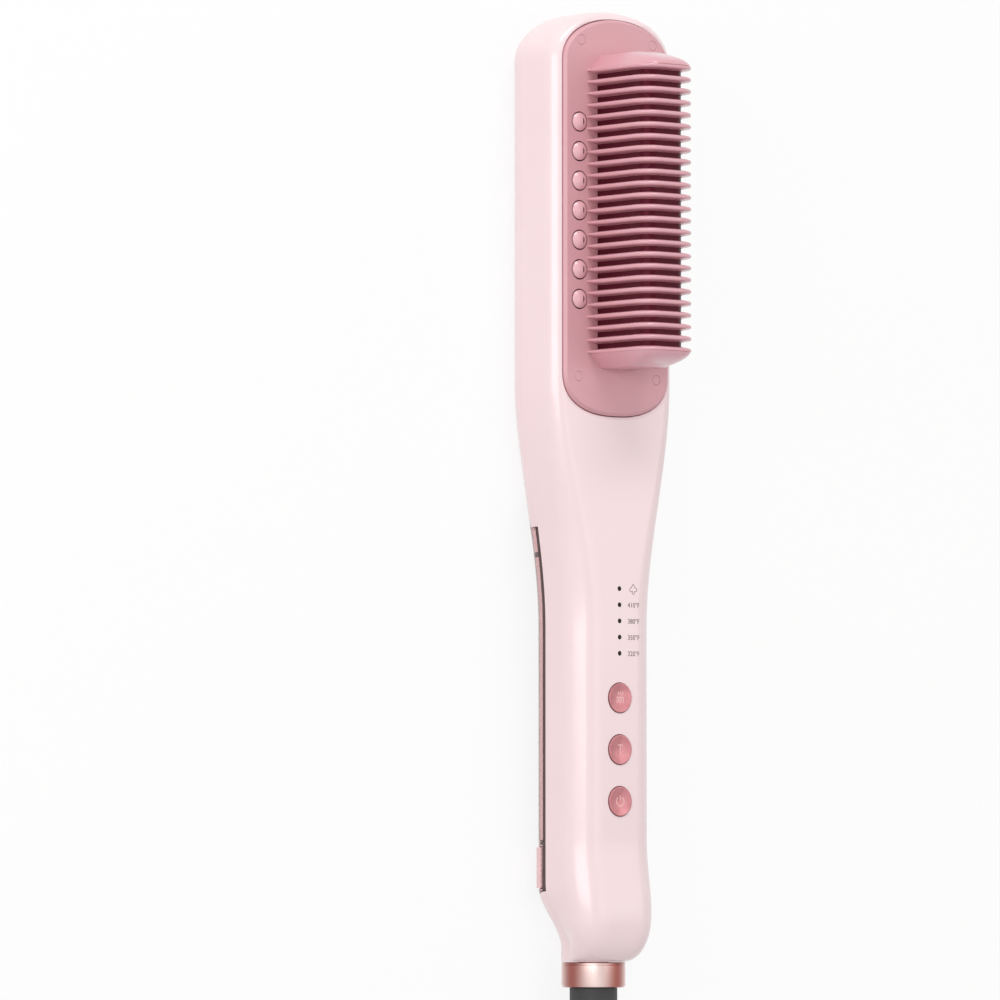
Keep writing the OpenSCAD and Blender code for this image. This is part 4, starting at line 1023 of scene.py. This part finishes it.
def strokeMesh(name, strokes, width, centre, height, material):
    points, faces = [], []
    x0, u0 = centre
    for stroke in strokes:
        closed = stroke[0] == stroke[-1]
        row = stroke[:-1] if closed else stroke
        count = len(row)
        offset = len(points)
        for k, (x, u) in enumerate(row):
            a = row[(k - 1) % count] if closed or k > 0 else row[k]
            b = row[(k + 1) % count] if closed or k < count - 1 else row[k]
            dx, du = b[0] - a[0], b[1] - a[1]
            length = sqrt(dx * dx + du * du) or 1
            nx, nu = -du / length * width / 2, dx / length * width / 2
            for side, lift in ((1, ink["proud"]), (-1, ink["proud"]), (-1, ink["sunk"]), (1, ink["sunk"])):
                px, pu = x0 + x + side * nx, u0 + u + side * nu
                points.append((px, pu, height(px - x0, pu - u0) + lift))
        for k in range(count if closed else count - 1):
            i, j = offset + 4 * k, offset + 4 * ((k + 1) % count)
            faces += [(i + e, j + e, j + (e + 1) % 4, i + (e + 1) % 4) for e in range(4)]
        if not closed:
            last = offset + 4 * (count - 1)
            faces += [(offset, offset + 1, offset + 2, offset + 3), (last + 3, last + 2, last + 1, last)]
    return makePiece(name, points, faces, material, 40)


def arcStroke(cx, cu, r, start, end, steps):
    turns = [radians(mix(start, end, k / steps)) for k in range(steps + 1)]
    return [(cx + r * cos(a), cu + r * sin(a)) for a in turns]


# Signs on the caps: a comb under steam, a letter T and a power mark
capSigns = {"steam": [[(-1.3, -1.6), (-1.3, 0.2), (1.3, 0.2), (1.3, -1.6)], [(-0.65, 0.2), (-0.65, -1.3)],
                      [(0, 0.2), (0, -1.6)], [(0.65, 0.2), (0.65, -1.3)],
                      [(-0.8, 0.8), (-1.0, 1.15), (-0.65, 1.5), (-0.8, 1.9)],
                      [(0.05, 0.8), (-0.15, 1.15), (0.2, 1.5), (0.05, 1.9)],
                      [(0.9, 0.8), (0.7, 1.15), (1.05, 1.5), (0.9, 1.9)]],
            "heat": [[(-1.0, 1.4), (1.0, 1.4)], [(0, 1.4), (0, -1.4)]],
            "power": [arcStroke(0, 0, 1.5, 125, 415, 28), [(0, 0.3), (0, 1.9)]]}


for name, u, body in (("steam", buttonAts[0], "steam_button"), ("heat", buttonAts[1], "heat_button"),
                      ("power", buttonAts[2], "power_button")):
    finishPiece(makeButton(name + "Cap", u), body, ["button_" + name])
    sign = strokeMesh(name + "Sign", capSigns[name], ink["sign"], (0, u), dishHeight, signFinish)
    finishPiece(sign, body, None)


def makeLenses():
    r, low = light["width"] / 2, light["low"]
    profile = [(0, low), (r, low), (r, faceTop - 0.06), (r - 0.08, faceTop), (0.4, faceTop + 0.03),
               (0, faceTop + 0.04)]
    return joinPieces("lightLenses", [turnedPiece("lens", profile, (0, u, 0), "z", lensFinish, 24)
                                      for u in lightAts])


finishPiece(makeLenses(), "root", ["indicator_lenses"])

figures = {"labels": ("410°F", "380°F", "350°F", "320°F"), "left": 3.3, "width": 4.7,
           "height": 1.55, "puffX": 5.6}


def makeFigures():
    made = []
    for text, u in zip(figures["labels"], lightAts[1:]):
        curve = bpy.data.curves.new("figure", "FONT")
        curve.body = text
        writing = addObject("figure", curve)
        mesh = evaluatedMesh(writing)
        bpy.data.objects.remove(writing)
        xs = [v.co.x for v in mesh.vertices]
        ys = [v.co.y for v in mesh.vertices]
        growX = figures["width"] / (max(xs) - min(xs))
        growY = figures["height"] / (max(ys) - min(ys))
        bm = bmesh.new()
        bm.from_mesh(mesh)
        bmesh.ops.remove_doubles(bm, verts=bm.verts, dist=0.0001)
        grown = bmesh.ops.extrude_face_region(bm, geom=bm.faces[:])
        upper = {v for v in grown["geom"] if isinstance(v, bmesh.types.BMVert)}
        for v in bm.verts:
            x = figures["left"] + (v.co.x - min(xs)) * growX
            y = u + (v.co.y - (min(ys) + max(ys)) / 2) * growY
            v.co = Vector(place(x, y, faceHeight(x, y) + ink["proud" if v in upper else "sunk"]))
        bm.to_mesh(mesh)
        bm.free()
        mesh.materials.clear()
        mesh.materials.append(printFinish)
        made.append(addObject("figure", mesh))
    # a puff of steam beside the top light
    u = lightAts[0]
    puff = [(0.62, 0.5), (0.3, 1.2), (0, 1.55), (-0.3, 1.2), (-0.62, 0.5)]
    puff += arcStroke(-0.85, -0.25, 0.6, 80, 275, 8)
    puff += [(-0.3, -0.75), (-0.3, -1.2), (-0.55, -1.2), (0, -1.75), (0.55, -1.2), (0.3, -1.2), (0.3, -0.75)]
    puff += arcStroke(0.85, -0.25, 0.6, -95, 100, 8) + [(0.62, 0.5)]
    x0 = figures["puffX"]
    made.append(strokeMesh("puff", [puff], ink["puff"], (x0, u), lambda x, y: faceHeight(x0 + x, u + y),
                           printFinish))
    return joinPieces("facePrint", made)


finishPiece(makeFigures(), "root", None)
print("the buttons, lights and print are made")


def makeTank():
    body = halfBody("tankShell", False, tankFinish)
    cutAway(body, [tankPrism(0, -1, lidLow - 0.05)], "INTERSECT")
    room = halfHollow("room", False, tank["wall"])
    cutAway(room, [tankPrism(tank["wall"], 0, 40)], "INTERSECT")
    thick = tank["bulkThick"]
    cutAway(room, [boxPiece("bulk", (-40, tank["bulkhead"], 0), (40, tank["bulkhead"] + thick, 40)),
                   boxPiece("roof", (-40, tank["roof"], 0), (tank["stepX"], tank["roof"] + thick, 40)),
                   boxPiece("step", (tank["stepX"], tank["step"], 0), (40, tank["step"] + thick, 40)),
                   boxPiece("wall", (tank["stepX"] - thick, tank["roof"] + 0.01, 0),
                            (tank["stepX"], tank["step"] + thick - 0.01, 40))])
    side, reach = brush["gripWidth"] / 2, tab["length"] / 2 + tab["gap"]
    windows = [boxPiece("window", (s * side - 8, tab["middle"] - reach, tab["low"] - tab["gap"]),
                        (s * side + 8, tab["middle"] + reach, tab["high"] + tab["gap"])) for s in (-1, 1)]
    hole = barPiece("mouth", tank["mouth"], -1, 2.5, (0, tank["bulkhead"], tank["stopperZ"]), "u", 32)
    return cutAway(body, [room] + windows + [hole], sharpAngle=35)


tab = {"middle": 36.6, "length": 12.4, "low": 3.2, "high": 8.6, "inner": 8.4, "proud": 0.6, "gap": 0.3,
       "rib": 1.65, "groove": 0.45}
finishPiece(makeTank(), "tank", ["tank_shell"], weighted=True)


def makeTab(side):
    body = halfHollow("releaseTab" + ("Left" if side < 0 else "Right"), False, -tab["proud"])
    ends, reach = sorted((side * tab["inner"], side * 22)), tab["length"] / 2
    block = boxPiece("block", (ends[0], tab["middle"] - reach, tab["low"]),
                     (ends[1], tab["middle"] + reach, tab["high"]), None, 0.35)
    cutAway(body, [block], "INTERSECT")
    edge = side * (brush["gripWidth"] / 2 + tab["proud"])
    cutAway(body, [barPiece("groove", tab["groove"], -2, 22, (edge, tab["middle"] + (k - 3) * tab["rib"], 0),
                            "z", 14) for k in range(7)], sharpAngle=30)
    body.data.materials.append(tabFinish)
    return body


finishPiece(makeTab(-1), "tab_left", ["release_tab_left"])
finishPiece(makeTab(1), "tab_right", ["release_tab_right"])
print("the water tank is made")


collar = {"inner": 7.6, "groove": 0.12}


def makeCollar():
    r, inner, length = brush["collarWidth"] / 2, collar["inner"], brush["collarLength"]
    low = r - collar["groove"]
    profile = [(inner, 0), (r - 0.9, 0), (r - 0.35, 0.18), (r - 0.1, 0.5), (r, 1.0), (r, 6.7), (low, 6.8),
               (low, 7.0), (r, 7.1), (r, 7.4), (r - 0.25, length), (inner, length), (inner, 0)]
    return turnedPiece("collarRing", profile, (0, 0, brush["axisHeight"]), "u", collarMetal, 96, 30)


finishPiece(makeCollar(), "root", ["collar_ring"])

boot = {"width": 14.6, "tip": 8.6, "length": 57.2, "bore": 3.05, "rib": 4, "ribs": 8, "groove": 0.7}


def makeBoot():
    length, tip, wide = boot["length"], boot["tip"] / 2, boot["width"] / 2
    profile = [(boot["bore"], 0), (tip - 0.6, 0), (tip - 0.15, 0.25), (tip, 0.8)]
    for k in range(boot["ribs"]):
        at = 3 + k * boot["rib"]
        r = tip + 0.3 * at / 35
        profile += [(r, at - 0.2), (r - 0.12, at), (tip - boot["groove"], at + 0.15),
                    (tip - boot["groove"], at + 1.25), (r - 0.12, at + 1.4), (r, at + 1.6)]
    profile += [(mix(tip + 0.3, wide - 0.5, smoothStep(t)), mix(35.5, length - 12, t))
                for t in (0, 0.15, 0.3, 0.45, 0.6, 0.75, 0.9, 1)]
    profile += [(wide - 0.15, length - 10), (wide, length - 8), (wide, length - 0.05),
                (boot["bore"], length - 0.05), (boot["bore"], 0)]
    return turnedPiece("swivelBoot", profile, (0, -length, brush["axisHeight"]), "u", rubberFinish, 64, 34)


finishPiece(makeBoot(), "swivel", ["swivel_boot"])
print("the collar and the boot are made")
